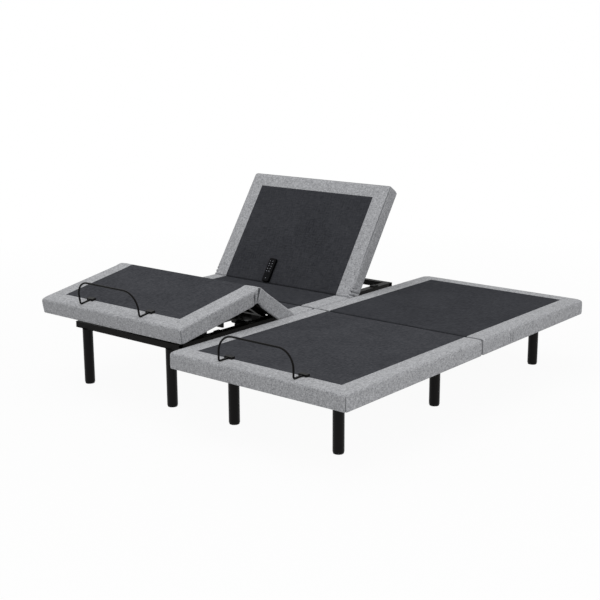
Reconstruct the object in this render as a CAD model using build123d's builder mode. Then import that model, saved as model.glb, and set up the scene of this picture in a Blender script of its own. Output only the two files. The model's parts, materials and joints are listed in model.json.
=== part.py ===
from build123d import *

import os
from dataclasses import dataclass
from math import asin, atan2, cos, degrees, hypot, radians, sin, tan

# Overall sizes of one base, in millimetres; two such bases stand side by side
base_width = 965
base_length = 2020
base_gap = 5
deck_height = 342
skirt_height = 75

# Where the deck folds, measured from the foot end, and how far each axis lies below the deck top
thigh_y = 852
thigh_length = 316.5
knee_y = thigh_y - thigh_length
split_y = 1018
head_y = 1335
hinge_drop = 50
knee_drop = 22

# Travel of the panels in degrees, and the angles at which each base stands
head_travel = 60
thigh_travel = 38
knee_ratio = 9 / 7
arm_ratio = 1.147
stance = {"left": {"head": 56, "thigh": 35}, "right": {"head": 0, "thigh": 0}}

# Upholstery: foam wrap over a board, with a dark cloth let into the top
pad_top = 13
pad_wall = 25
edge_radius = 12
corner_radius = 16
hem_radius = 5
seam_radius = 5
panel_gap = 0.5
relief_angle = 0.6
cloth_thickness = 1.5
border_side = 89
border_foot = 90
border_head = 78

# Deck boards with glued edge strips
board_thickness = 15
board_fit = 0.5
strip_thickness = 12
strip_lift = 6

# Fixed steel frame
beam_size = 30
beam_wall = 2.5
beam_inset = 125
frame_drop = 34
foot_beam_reach = 330.5
mid_beam_y = 974
drive_beam_y = 1140
head_beam_inset = 158
rail_width = 40
plate_thickness = 4
plate_length = 120
plate_edge = 3
bumper_length = 40
bumper_width = 30
rest_gap = 0.3

# Legs
leg_diameter = 50
leg_wall = 1.6
leg_inset = 192
mid_leg_inset = 222
glide_height = 8
glide_diameter = 46
stud_diameter = 12
stud_length = 18
stud_clearance = 0.2

# Hinge lugs and pins
lug_thickness = 12
lug_width = 36
pin_diameter = 12
running_gap = 0.05
side_gap = 0.3
ear_radius = 16
ear_depth = 25
knee_pin_diameter = 10
knee_boss_radius = 9
knee_ear_thickness = 10

# Moving sub-frames of welded square tube
tube_size = 25
tube_wall = 2
tube_inset = 195
hinge_reach = 35
knee_reach = 25
beam_clearance = 20
cross_offset = 25

# Levers under the head and thigh sub-frames, and the screw drives that push them
lever_drop = 104
lever_thickness = 6
lever_gap = 26
lever_boss_radius = 14
push_pin_diameter = 16
head_push_gap = 1.4
leg_push_gap = 0.6
drive_offset = 130
rod_diameter = 20
rod_clearance = 0.3
head_rod_clearance = 55
leg_rod_clearance = 28
pusher_width = 20
pusher_height = 46
pusher_thickness = 10
tube_diameter = 34
nose_gap = 16
gearbox_length = 80
gearbox_width = 70
gearbox_height = 80
motor_diameter = 56
motor_length = 92
hanger_width = 50
hanger_thickness = 12

# Arm that carries the foot panel
arm_set_back = 45.5
arm_drop = 76
arm_length = 215
arm_spacing = 400
arm_thickness = 10
arm_depth = 16
glide_radius = 12
glide_width = 30
shaft_diameter = 26
track_thickness = 5
track_length = 72

# Mattress retainer bar at the foot end
bar_diameter = 9
bar_spacing = 408
bar_rise = 122
bar_set_back = 22
bar_tail = 78
bar_low_radius = 10
bar_top_radius = 78
clip_width = 42
clip_length = 22
clip_height = 11

# Control box under the seat
box_width = 160
box_length = 100
box_height = 46
inlet_width = 24
inlet_height = 20
inlet_depth = 14

# Remote control lying against the left head panel
remote_length = 140
remote_width = 46
remote_thickness = 20
remote_wall = 2
remote_corner = 9
remote_edge = 3
remote_x = -91
remote_start = 30
key_diameter = 7.6
key_clearance = 0.25
key_proud = 1.2
key_flange = 1.4
key_flange_thickness = 1
key_rows = 5
key_columns = 2
key_pitch_x = 18
key_pitch_y = 15
key_end_margin = 20

# Heights and places that follow from the sizes above
skirt_bottom = deck_height - skirt_height
board_top = deck_height - pad_top
board_bottom = board_top - board_thickness
frame_top = deck_height - frame_drop
frame_bottom = frame_top - beam_size
frame_middle = frame_top - beam_size / 2
bumper_height = board_bottom - frame_top
hinge_z = deck_height - hinge_drop
knee_z = deck_height - knee_drop
arm_z = deck_height - arm_drop
arm_y = knee_y - arm_set_back
foot_beam_y = knee_y - foot_beam_reach
head_beam_y = base_length - head_beam_inset
half_width = base_width / 2
rail_outer = half_width - beam_inset
rail_middle = rail_outer - rail_width / 2
rail_inner = rail_outer - rail_width
lug_inner = rail_inner - lug_thickness
tube_x = half_width - tube_inset
tube_z = board_bottom - tube_size / 2
ear_outer = lug_inner - side_gap
drive_z = hinge_z - lever_drop
pin_length = lug_thickness + side_gap + ear_depth
track_z = board_bottom - track_thickness
cloth_width = base_width - 2 * border_side


@dataclass(frozen=True)
class PanelEnd:
    """End of a deck panel: the fold that it stops at, with its relief above and below the axis."""

    y: float
    z: float = 0
    above: float = 0
    below: float = 0
    walled: bool = False
    border: float = 0

    def face(self, side, height, gap):
        """Y of the panel's end face at a height, for the panel on that side of the fold."""
        rise = max(height - self.z, 0) * tan(radians(self.above))
        fall = max(self.z - height, 0) * tan(radians(self.below))
        return self.y + side * (gap + rise + fall)

    def points(self, side, low, high, gap):
        """Corners of the end face from low to high."""
        heights = [low, self.z, high] if low < self.z < high else [low, high]
        return [(self.face(side, height, gap), height) for height in heights]


foot_end = PanelEnd(0, walled=True, border=border_foot)
knee = PanelEnd(knee_y, knee_z, below=thigh_travel * knee_ratio / 2 + relief_angle)
thigh_fold = PanelEnd(thigh_y, hinge_z, above=thigh_travel / 2 + relief_angle)
seat_split = PanelEnd(split_y)
head_fold = PanelEnd(head_y, hinge_z, above=head_travel / 2 + relief_angle)
head_end = PanelEnd(base_length, walled=True, border=border_head)

panels = {
    "foot": (foot_end, knee),
    "thigh": (knee, thigh_fold),
    "seat_front": (thigh_fold, seat_split),
    "seat_rear": (seat_split, head_fold),
    "head": (head_fold, head_end),
}


def end_gap(end, wall_gap, fold_gap):
    """Gap that a piece keeps from its panel's end."""
    return wall_gap if end.walled else fold_gap


def profile(front, rear, low, high, wall_gap, fold_gap):
    """Side view of a panel piece between two ends, as a closed list of corners."""
    back = rear.points(-1, low, high, end_gap(rear, wall_gap, fold_gap))
    fore = front.points(1, low, high, end_gap(front, wall_gap, fold_gap))
    return back + fore[::-1]


def tray(front, rear, half, low, high, roof, wall, wall_gap, fold_gap):
    """Upside-down tray between two panel ends, open underneath and towards each fold."""
    span = rear.y - front.y
    inner = (
        front.y + (wall_gap + wall if front.walled else -span),
        rear.y - (wall_gap + wall if rear.walled else -span),
    )
    with BuildPart() as shell:
        with BuildSketch(Plane.YZ):
            with BuildLine():
                Polyline(*profile(front, rear, low, high, wall_gap, fold_gap), close=True)
            make_face()
        extrude(amount=half, both=True)
        with BuildSketch(Plane.YZ):
            with BuildLine():
                Polyline(
                    (inner[0], low - wall),
                    (inner[1], low - wall),
                    (inner[1], high - roof),
                    (inner[0], high - roof),
                    close=True,
                )
            make_face()
        extrude(amount=half - wall, both=True, mode=Mode.SUBTRACT)
    return shell.part


def cloth_span(front, rear):
    """Where a panel's dark cloth starts and ends along Y."""
    start = front.y + front.border if front.walled else front.face(1, deck_height, panel_gap)
    stop = rear.y - rear.border if rear.walled else rear.face(-1, deck_height, panel_gap)
    return start, stop


def make_cloth(front, rear):
    """Dark non-slip cloth, flush with the border around it."""
    start, stop = cloth_span(front, rear)
    with BuildPart() as cloth:
        with BuildSketch(Plane.XY.offset(deck_height)):
            with Locations((0, (start + stop) / 2)):
                Rectangle(cloth_width, stop - start)
        extrude(amount=-cloth_thickness)
    return cloth.part


def make_pad(front, rear):
    """Foam border and top of one panel, rounded along its outer edges."""
    start, stop = cloth_span(front, rear)
    walled = [end.y for end in (front, rear) if end.walled]
    seams = [end.y for end in (front, rear) if end is seat_split]
    with BuildPart() as pad:
        add(tray(front, rear, half_width, skirt_bottom, deck_height, pad_top, pad_wall, 0, panel_gap))
        corners = pad.edges().filter_by(Axis.Z).filter_by(
            lambda edge: abs(edge.center().X) > half_width - panel_gap
            and any(abs(edge.center().Y - y) < panel_gap for y in walled)
        )
        if corners:
            fillet(corners, corner_radius)
        top = pad.faces().sort_by(Axis.Z)[-1]
        crosswise = top.edges().filter_by(Axis.X)
        folds = [e for e in crosswise if all(abs(e.center().Y - y) > corner_radius for y in walled)]
        seam = [e for e in folds if any(abs(e.center().Y - y) < seam_radius for y in seams)]
        rim = [e for e in top.edges() if not any(e.is_same(f) for f in folds)]
        fillet(rim, edge_radius)
        if seam:
            seam_edges = pad.edges().filter_by(Axis.X).filter_by(
                lambda edge: abs(edge.center().Z - deck_height) < panel_gap
                and any(abs(edge.center().Y - y) < seam_radius for y in seams)
            )
            fillet(seam_edges, seam_radius)
        lowest = pad.edges().group_by(Axis.Z)[0]
        hem = lowest.filter_by(GeomType.CIRCLE)
        hem += lowest.filter_by(Axis.Y).filter_by(lambda edge: abs(edge.center().X) > half_width - panel_gap)
        hem += lowest.filter_by(Axis.X).filter_by(
            lambda edge: any(abs(edge.center().Y - y) < panel_gap for y in walled)
        )
        fillet(hem, hem_radius)
        with BuildSketch(Plane.XY.offset(deck_height)):
            with Locations((0, (start + stop) / 2)):
                Rectangle(cloth_width, stop - start)
        extrude(amount=-cloth_thickness, mode=Mode.SUBTRACT)
    return pad.part


def make_deck(front, rear):
    """Board with edge strips that the foam wraps round."""
    return tray(
        front,
        rear,
        half_width - pad_wall - board_fit,
        skirt_bottom + strip_lift,
        board_top,
        board_thickness,
        strip_thickness,
        pad_wall + board_fit,
        knee_boss_radius + panel_gap,
    )


def box_tube(start, end, width, height, wall):
    """Hollow rectangular tube from one point to another, along X or along Y."""
    along_x = start[0] != end[0]
    reach = hypot(end[0] - start[0], end[1] - start[1])
    heading = (1, 0, 0) if along_x else (0, 1, 0)
    across = (0, 1, 0) if along_x else (-1, 0, 0)
    with BuildPart() as tube:
        with BuildSketch(Plane(origin=start, x_dir=across, z_dir=heading)):
            Rectangle(width, height)
            Rectangle(width - 2 * wall, height - 2 * wall, mode=Mode.SUBTRACT)
        extrude(amount=reach)
    return tube.part


def cylinder_x(x_from, x_to, y, z, diameter):
    """Round bar along X between two places."""
    with BuildPart() as bar:
        with BuildSketch(Plane.YZ.offset(x_from)):
            with Locations((y, z)):
                Circle(diameter / 2)
        extrude(amount=x_to - x_from)
    return bar.part


def cylinder_y(y_from, y_to, x, z, diameter, bore=0):
    """Round bar or tube along Y between two places."""
    with BuildPart() as bar:
        with BuildSketch(Plane.XZ.offset(-y_from)):
            with Locations((x, z)):
                Circle(diameter / 2)
                if bore:
                    Circle(bore / 2, mode=Mode.SUBTRACT)
        extrude(amount=y_from - y_to)
    return bar.part


def plate_x(x_from, x_to, corners):
    """Flat plate across X with the side view given by its corners."""
    with BuildPart() as plate:
        with BuildSketch(Plane.YZ.offset(x_from)):
            with BuildLine():
                Polyline(*corners, close=True)
            make_face()
        extrude(amount=x_to - x_from)
    return plate.part


def block(x_span, y_span, z_span):
    """Rectangular block between pairs of coordinates."""
    with BuildPart() as solid:
        with BuildSketch(Plane.XY.offset(z_span[0])):
            with Locations(((x_span[0] + x_span[1]) / 2, (y_span[0] + y_span[1]) / 2)):
                Rectangle(x_span[1] - x_span[0], y_span[1] - y_span[0])
        extrude(amount=z_span[1] - z_span[0])
    return solid.part


def both_sides(shape):
    """A piece and its mirror image about the base's middle."""
    return [shape, mirror(shape, about=Plane.YZ, mode=Mode.PRIVATE)]


def welded(pieces, cuts=()):
    """One solid from pieces that are welded together, with bores cut through it."""
    with BuildPart() as weldment:
        for piece in pieces:
            add(piece)
        for cut in cuts:
            add(cut, mode=Mode.SUBTRACT)
    return weldment.part


def make_leg():
    """Round tube leg with a closed top and a threaded stud."""
    with BuildPart() as leg:
        with BuildSketch(Plane.XY.offset(glide_height)):
            Circle(leg_diameter / 2)
        extrude(amount=frame_bottom - glide_height)
        with BuildSketch(Plane.XY.offset(glide_height)):
            Circle(leg_diameter / 2 - leg_wall)
        extrude(amount=frame_bottom - glide_height - 2 * leg_wall, mode=Mode.SUBTRACT)
        with BuildSketch(Plane.XY.offset(frame_bottom)):
            Circle(stud_diameter / 2)
        extrude(amount=stud_length)
    return leg.part


def make_leg_foot():
    """Plastic glide plugged into the bottom of a leg."""
    with BuildPart() as foot:
        with BuildSketch():
            Circle(glide_diameter / 2)
        extrude(amount=glide_height)
        fillet(foot.edges().sort_by(Axis.Z)[0], glide_height / 4)
    return foot.part


leg_places = [
    (side * (half_width - inset), y)
    for y, inset in ((foot_beam_y, leg_inset), (mid_beam_y, mid_leg_inset), (head_beam_y, leg_inset))
    for side in (-1, 1)
]


def stud_hole(x, y):
    """Hole in a beam's underside for a leg's stud."""
    with BuildPart() as hole:
        with BuildSketch(Plane.XY.offset(frame_bottom)):
            with Locations((x, y)):
                Circle(stud_diameter / 2 + stud_clearance)
        extrude(amount=stud_length)
    return hole.part


def make_beam(y, reach):
    """Cross beam of square tube, drilled for the legs that stand under it."""
    tube = box_tube((-reach, y, frame_middle), (reach, y, frame_middle), beam_size, beam_size, beam_wall)
    return welded([tube], [stud_hole(x, leg_y) for x, leg_y in leg_places if leg_y == y])


def drive_hanger(x, y, tube_bore):
    """Strap welded under a cross beam that holds one end of a screw drive."""
    drop = drive_z - tube_diameter if tube_bore else drive_z + gearbox_height / 2
    strap = block(
        (x - hanger_width / 2, x + hanger_width / 2),
        (y - hanger_thickness / 2, y + hanger_thickness / 2),
        (drop, frame_bottom),
    )
    if not tube_bore:
        return strap
    return welded([strap], [cylinder_y(y - hanger_width, y + hanger_width, x, drive_z, tube_diameter)])


def make_cross_beams():
    """Four cross beams of a base, two of them with the straps that hold the drives."""
    mid = welded(
        [
            make_beam(mid_beam_y, rail_inner),
            drive_hanger(drive_offset, mid_beam_y, False),
            drive_hanger(-drive_offset, mid_beam_y, True),
        ]
    )
    rear = welded(
        [
            make_beam(drive_beam_y, rail_inner),
            drive_hanger(drive_offset, drive_beam_y, True),
            drive_hanger(-drive_offset, drive_beam_y, False),
        ]
    )
    return [make_beam(foot_beam_y, rail_outer), mid, rear, make_beam(head_beam_y, rail_outer)]


def hinge_lug(y, z):
    """Lug on a rail's inner face that reaches down to a hinge pin."""
    low = min(frame_bottom, z - lug_width / 2)
    return block((lug_inner, rail_inner), (y - lug_width / 2, y + lug_width / 2), (low, frame_top))


def make_rails():
    """Side rails in two halves that meet at the split, with hinge lugs and a joining plate."""
    front_start = foot_beam_y + beam_size / 2
    rear_stop = head_beam_y - beam_size / 2
    front = box_tube(
        (rail_middle, front_start, frame_middle),
        (rail_middle, split_y - panel_gap, frame_middle),
        rail_width,
        beam_size,
        beam_wall,
    )
    rear = box_tube(
        (rail_middle, split_y + panel_gap, frame_middle),
        (rail_middle, rear_stop, frame_middle),
        rail_width,
        beam_size,
        beam_wall,
    )
    plate = block(
        (rail_outer, rail_outer + plate_thickness),
        (split_y - plate_length / 2, split_y + plate_length / 2),
        (frame_bottom + plate_edge, frame_top - plate_edge),
    )
    front_half = welded(
        [front, hinge_lug(arm_y, arm_z), hinge_lug(thigh_y, hinge_z)],
        [pin_at(arm_y, arm_z), pin_at(thigh_y, hinge_z)],
    )
    rear_half = welded([rear, hinge_lug(head_y, hinge_z), plate], [pin_at(head_y, hinge_z)])
    return both_sides(front_half) + both_sides(rear_half)


def pin_at(y, z):
    """Hinge pin that stands inwards from a lug."""
    return cylinder_x(rail_inner - pin_length, rail_inner, y, z, pin_diameter)


def make_bumper(y, height):
    """Rubber block on a rail that a panel lies on."""
    return block(
        (rail_middle - bumper_width / 2, rail_middle + bumper_width / 2),
        (y - bumper_length / 2, y + bumper_length / 2),
        (frame_top, frame_top + height),
    )


def make_bumpers():
    """Bumpers under the moving panels, and spacers that carry the fixed seat."""
    soft = bumper_height - rest_gap
    resting = [
        arm_y - arm_length / 2,
        (knee_y + thigh_y) / 2,
        head_y + (head_beam_y - head_y) / 3,
        head_beam_y - (head_beam_y - head_y) / 4,
    ]
    seat = [
        thigh_y + (split_y - thigh_y) / 2,
        split_y + (head_y - split_y) / 4,
        head_y - (head_y - split_y) / 4,
    ]
    pieces = [piece for y in resting for piece in both_sides(make_bumper(y, soft))]
    return pieces + [piece for y in seat for piece in both_sides(make_bumper(y, bumper_height))]


def pin_bore(y, z):
    """Running bore round a hinge pin."""
    return cylinder_x(lug_inner - 2 * ear_depth, lug_inner, y, z, pin_diameter + 2 * running_gap)


def hinge_ear(y, toward):
    """Ear of a sub-frame that turns on a hinge pin, with a strap to the tube beside it."""
    reach = y + toward * hinge_reach
    tongue = block(
        (ear_outer - ear_depth, ear_outer),
        (min(y, reach), max(y, reach)),
        (hinge_z, hinge_z + ear_radius),
    )
    boss = cylinder_x(ear_outer - ear_depth, ear_outer, y, hinge_z, 2 * ear_radius)
    root = block(
        (tube_x - tube_size / 2, ear_outer),
        (min(reach, reach + toward * tube_size), max(reach, reach + toward * tube_size)),
        (tube_z - tube_size / 2, board_bottom),
    )
    return [boss, tongue, root]


def knee_ear(toward, x_from, x_to):
    """Ear of a sub-frame at the knee axis."""
    reach = knee_y + toward * knee_reach
    boss = cylinder_x(x_from, x_to, knee_y, knee_z, 2 * knee_boss_radius)
    strap = plate_x(
        x_from,
        x_to,
        [
            (knee_y, knee_z - knee_boss_radius),
            (reach, tube_z - tube_size / 2),
            (reach, board_bottom),
            (knee_y + toward * knee_boss_radius, board_bottom),
            (knee_y + toward * knee_boss_radius, knee_z),
            (knee_y, knee_z),
        ],
    )
    return [boss, strap]


def side_tubes(y_from, y_to):
    """Pair of lengthwise tubes of a sub-frame."""
    tube = box_tube((tube_x, y_from, tube_z), (tube_x, y_to, tube_z), tube_size, tube_size, tube_wall)
    return both_sides(tube)


def cross_tube(y):
    """Tube between the two lengthwise tubes of a sub-frame."""
    reach = tube_x - tube_size / 2
    return box_tube((-reach, y, tube_z), (reach, y, tube_z), tube_size, tube_size, tube_wall)


def push_pin_place(hinge_line_y, travel, toward):
    """Place of a lever's push pin when its panel lies flat."""
    return hinge_line_y + toward * lever_drop * tan(radians(travel / 2)), drive_z


def make_lever(x, pin_place, tube_y):
    """Forked lever that hangs from a cross tube, with the pin that the drive pushes."""
    pin_y, pin_z = pin_place
    base = tube_z - tube_size / 2
    lean = degrees(atan2(tube_y - pin_y, base - pin_z))
    dy = lever_boss_radius * cos(radians(lean))
    dz = lever_boss_radius * sin(radians(lean))
    outline = [
        (pin_y - dy, pin_z + dz),
        (tube_y - tube_size / 2, base),
        (tube_y + tube_size / 2, base),
        (pin_y + dy, pin_z - dz),
    ]
    pieces = [cylinder_x(x - lever_gap / 2, x + lever_gap / 2, pin_y, pin_z, push_pin_diameter)]
    for side in (-1, 1):
        near = x + side * lever_gap / 2
        far = near + side * lever_thickness
        pieces.append(plate_x(near, far, outline))
        pieces.append(cylinder_x(near, far, pin_y, pin_z, 2 * lever_boss_radius))
    return pieces


head_pin = push_pin_place(head_y, head_travel, -1)
leg_pin = push_pin_place(thigh_y, thigh_travel, 1)
head_lever_tube_y = head_y + hinge_reach + cross_offset + tube_size / 2
thigh_lever_tube_y = thigh_y - hinge_reach - tube_size / 2
thigh_front_tube_y = knee_y + knee_reach + cross_offset + tube_size / 2


def make_head_subframe():
    """Welded frame under the head panel, with hinge ears and the lever of its drive."""
    far = head_beam_y - beam_size / 2 - beam_clearance
    pieces = side_tubes(head_y + hinge_reach, far)
    pieces += [cross_tube(head_lever_tube_y), cross_tube(far - tube_size / 2)]
    for piece in hinge_ear(head_y, 1):
        pieces += both_sides(piece)
    pieces += make_lever(drive_offset, head_pin, head_lever_tube_y)
    return welded(pieces, both_sides(pin_bore(head_y, hinge_z)))


def knee_pin_bore(clearance):
    """Bore along the knee axis on one side."""
    return cylinder_x(
        tube_x - tube_size, tube_x + tube_size, knee_y, knee_z, knee_pin_diameter + 2 * clearance
    )


def make_thigh_subframe():
    """Welded frame under the thigh panel, with ears at both folds and the lever of its drive."""
    pieces = side_tubes(knee_y + knee_reach, thigh_y - hinge_reach)
    pieces += [cross_tube(thigh_front_tube_y), cross_tube(thigh_lever_tube_y)]
    ears = hinge_ear(thigh_y, -1) + knee_ear(1, tube_x + side_gap / 2, tube_x + knee_ear_thickness)
    for piece in ears:
        pieces += both_sides(piece)
    pieces += make_lever(-drive_offset, leg_pin, thigh_lever_tube_y)
    return welded(pieces, both_sides(pin_bore(thigh_y, hinge_z)) + both_sides(knee_pin_bore(0)))


arm_start = degrees(asin((track_z - glide_radius - arm_z) / arm_length))
glide_y = arm_y - arm_length * cos(radians(arm_start))
track_start = foot_beam_y + beam_size / 2 + rest_gap
foot_cross_y = knee_y - knee_reach - tube_size / 2


def make_foot_subframe():
    """Welded frame under the foot panel: knee ears, a cross tube and the plate that the arm slides on."""
    pieces = side_tubes(track_start, knee_y - knee_reach)
    pieces.append(cross_tube(foot_cross_y))
    track_span = (track_start, track_start + track_length)
    pieces.append(block((-tube_x, tube_x), track_span, (track_z, board_bottom)))
    for piece in knee_ear(-1, tube_x - knee_ear_thickness, tube_x - side_gap / 2):
        pieces += both_sides(piece)
    return welded(pieces, both_sides(knee_pin_bore(running_gap)))


def make_knee_pins():
    """Two short pins on the knee axis."""
    overhang = knee_ear_thickness + side_gap
    return both_sides(
        cylinder_x(tube_x - overhang, tube_x + overhang, knee_y, knee_z, knee_pin_diameter)
    )


def make_foot_arm():
    """Cross shaft with two arms whose rounded ends carry the foot panel."""
    reach = lug_inner - side_gap
    pieces = [cylinder_x(-reach, reach, arm_y, arm_z, shaft_diameter)]
    end_z = arm_z + arm_length * sin(radians(arm_start))
    end_diameter = 2 * (glide_radius - rest_gap)
    half = arm_depth / 2
    outline = [(arm_y, arm_z - half), (arm_y, arm_z + half), (glide_y, end_z + half), (glide_y, end_z - half)]
    for side in (-1, 1):
        x = side * arm_spacing / 2
        pieces.append(plate_x(x - arm_thickness / 2, x + arm_thickness / 2, outline))
        pieces.append(cylinder_x(x - glide_width / 2, x + glide_width / 2, glide_y, end_z, end_diameter))
    return welded(pieces, both_sides(pin_bore(arm_y, arm_z)))


def make_push_rod(x, pin_place, toward, gap, tail):
    """Round rod of a screw drive, from its tail in the outer tube to a flat pusher head."""
    face = pin_place[0] - toward * (push_pin_diameter / 2 + gap)
    heel = face - toward * pusher_thickness
    rod = cylinder_y(min(heel, tail), max(heel, tail), x, drive_z, rod_diameter)
    low = drive_z + rod_diameter / 2 - pusher_height
    pusher = block(
        (x - pusher_width / 2, x + pusher_width / 2),
        (min(face, heel), max(face, heel)),
        (low, low + pusher_height),
    )
    return welded([rod, pusher])


def drive_nose(pin_place, toward, gap):
    """Y of the front end of a drive's outer tube."""
    return pin_place[0] - toward * (push_pin_diameter / 2 + gap + pusher_thickness + nose_gap)


head_gearbox = (mid_beam_y - gearbox_length / 2, mid_beam_y + gearbox_length / 2)
leg_gearbox = (drive_beam_y - gearbox_length / 2, drive_beam_y + gearbox_length / 2)


def make_drive_tubes():
    """Outer tubes that guide the push rods."""
    bore = rod_diameter + 2 * rod_clearance
    head_nose = drive_nose(head_pin, 1, head_push_gap)
    leg_nose = drive_nose(leg_pin, -1, leg_push_gap)
    head = cylinder_y(head_gearbox[1], head_nose, drive_offset, drive_z, tube_diameter, bore)
    leg = cylinder_y(leg_nose, leg_gearbox[0], -drive_offset, drive_z, tube_diameter, bore)
    return [head, leg]


def make_drive_motor(x, span, toward):
    """Gearbox with its motor lying across the base, towards the middle."""
    with BuildPart() as case:
        with BuildSketch(Plane.XZ.offset(-span[0])):
            with Locations((x, drive_z)):
                RectangleRounded(gearbox_width, gearbox_height, gearbox_width / 6)
        extrude(amount=span[0] - span[1])
        with BuildSketch(Plane.YZ.offset(x + toward * gearbox_width / 2)):
            with Locations(((span[0] + span[1]) / 2, drive_z)):
                Circle(motor_diameter / 2)
        extrude(amount=toward * motor_length)
    return case.part


def make_control_box():
    """Control box screwed under the rear seat board, with a recessed mains inlet."""
    far = head_y - hinge_reach
    with BuildPart() as box:
        with BuildSketch(Plane.XY.offset(board_bottom)):
            with Locations((-box_width / 2 + drive_offset / 2, far - box_length / 2)):
                RectangleRounded(box_width, box_length, box_height / 6)
        extrude(amount=-box_height)
        with BuildSketch(Plane.XZ.offset(-far)):
            with Locations((-box_width / 2 + drive_offset / 2, board_bottom - box_height / 2)):
                Rectangle(inlet_width, inlet_height)
        extrude(amount=inlet_depth, mode=Mode.SUBTRACT)
    return box.part


bar_z = deck_height + bar_diameter / 2
clip_y = bar_set_back + bar_tail - clip_length / 2


def make_retainer_bar():
    """Bent steel rod that stands at the foot end and keeps the mattress from sliding."""
    half = bar_spacing / 2
    top = deck_height + bar_rise
    route = [
        (half, bar_set_back + bar_tail, bar_z),
        (half, bar_set_back, bar_z),
        (half, bar_set_back, top),
        (-half, bar_set_back, top),
        (-half, bar_set_back, bar_z),
        (-half, bar_set_back + bar_tail, bar_z),
    ]
    radii = [bar_low_radius, bar_top_radius, bar_top_radius, bar_low_radius]
    with BuildPart() as bar:
        with BuildLine() as path:
            FilletPolyline(*route, radius=radii)
        with BuildSketch(Plane(origin=path.line @ 0, z_dir=path.line % 0)):
            Circle(bar_diameter / 2)
        sweep()
    return bar.part


def make_retainer_clips():
    """Saddle clips that hold the bar's tails to the deck."""
    clips = []
    for side in (-1, 1):
        x = side * bar_spacing / 2
        saddle = block(
            (x - clip_width / 2, x + clip_width / 2),
            (clip_y - clip_length / 2, clip_y + clip_length / 2),
            (deck_height, deck_height + clip_height),
        )
        groove = cylinder_y(clip_y - clip_length, clip_y + clip_length, x, bar_z, bar_diameter)
        mouth = block(
            (x - bar_diameter / 2, x + bar_diameter / 2),
            (clip_y - clip_length, clip_y + clip_length),
            (deck_height - clip_height, bar_z),
        )
        clips.append(welded([saddle], [groove, mouth]))
    return clips


remote_y = head_y + remote_start + remote_length / 2
remote_middle = deck_height + remote_thickness / 2
remote_front = deck_height + remote_thickness
key_spots = [
    (
        remote_x + (column - (key_columns - 1) / 2) * key_pitch_x,
        remote_y + remote_length / 2 - key_end_margin - row * key_pitch_y,
    )
    for row in range(key_rows)
    for column in range(key_columns)
]


def make_remote_half(front):
    """Front or back half of the remote's case, as a thin shell."""
    toward = 1 if front else -1
    depth = remote_thickness / 2
    with BuildPart() as half:
        with BuildSketch(Plane.XY.offset(remote_middle)):
            with Locations((remote_x, remote_y)):
                RectangleRounded(remote_width, remote_length, remote_corner)
        extrude(amount=toward * depth)
        rim = half.faces().sort_by(Axis.Z)[-1 if front else 0].edges()
        fillet(rim, remote_edge)
        with BuildSketch(Plane.XY.offset(remote_middle)):
            with Locations((remote_x, remote_y)):
                RectangleRounded(
                    remote_width - 2 * remote_wall,
                    remote_length - 2 * remote_wall,
                    remote_corner - remote_wall,
                )
        extrude(amount=toward * (depth - remote_wall), mode=Mode.SUBTRACT)
        if front:
            with BuildSketch(Plane.XY.offset(remote_front)):
                with Locations(*key_spots):
                    Circle(key_diameter / 2 + key_clearance)
            extrude(amount=-depth, mode=Mode.SUBTRACT)
    return half.part


def make_key(spot):
    """One key with the flange that keeps it inside the case."""
    with BuildPart() as key:
        with BuildSketch(Plane.XY.offset(remote_front - remote_wall - key_flange_thickness)):
            with Locations(spot):
                Circle(key_diameter / 2 + key_flange)
        extrude(amount=key_flange_thickness)
        with BuildSketch(Plane.XY.offset(remote_front - remote_wall)):
            with Locations(spot):
                Circle(key_diameter / 2)
        extrude(amount=remote_wall + key_proud)
        fillet(key.edges().sort_by(Axis.Z)[-1], key_proud / 2)
    return key.part


def turned(y, z, angle):
    """Turn about an axis along X."""
    return Pos(0, y, z) * Rot(angle, 0, 0) * Pos(0, -y, -z)


def rod_rate(travel):
    """Travel of a push rod for each radian of its panel."""
    return 2 * lever_drop * tan(radians(travel / 2)) / radians(travel)


def places(side):
    """Where each body of a base stands, from the angles of its stance."""
    head = stance[side]["head"]
    thigh = stance[side]["thigh"]
    offset = (base_width + base_gap) / 2
    base = Pos(offset if side == "right" else -offset, -base_length / 2, 0)
    thigh_place = base * turned(thigh_y, hinge_z, -thigh)
    return {
        "base": base,
        "head": base * turned(head_y, hinge_z, head),
        "thigh": thigh_place,
        "foot": thigh_place * turned(knee_y, knee_z, knee_ratio * thigh),
        "arm": base * turned(arm_y, arm_z, -arm_ratio * thigh),
        "head_rod": base * Pos(0, rod_rate(head_travel) * radians(head), 0),
        "leg_rod": base * Pos(0, -rod_rate(thigh_travel) * radians(thigh), 0),
    }


def write(name, pieces, spots):
    """Write one node: its pieces at each of the places where they stand."""
    solids = [solid for spot in spots for piece in pieces for solid in piece.moved(spot).solids()]
    node = solids[0] if len(solids) == 1 else Compound(children=solids)
    node.label = name
    export_step(node, f"parts/{name}.step")


os.makedirs("parts", exist_ok=True)
stand = {side: places(side) for side in stance}
bases = [stand[side]["base"] for side in stance]

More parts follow.
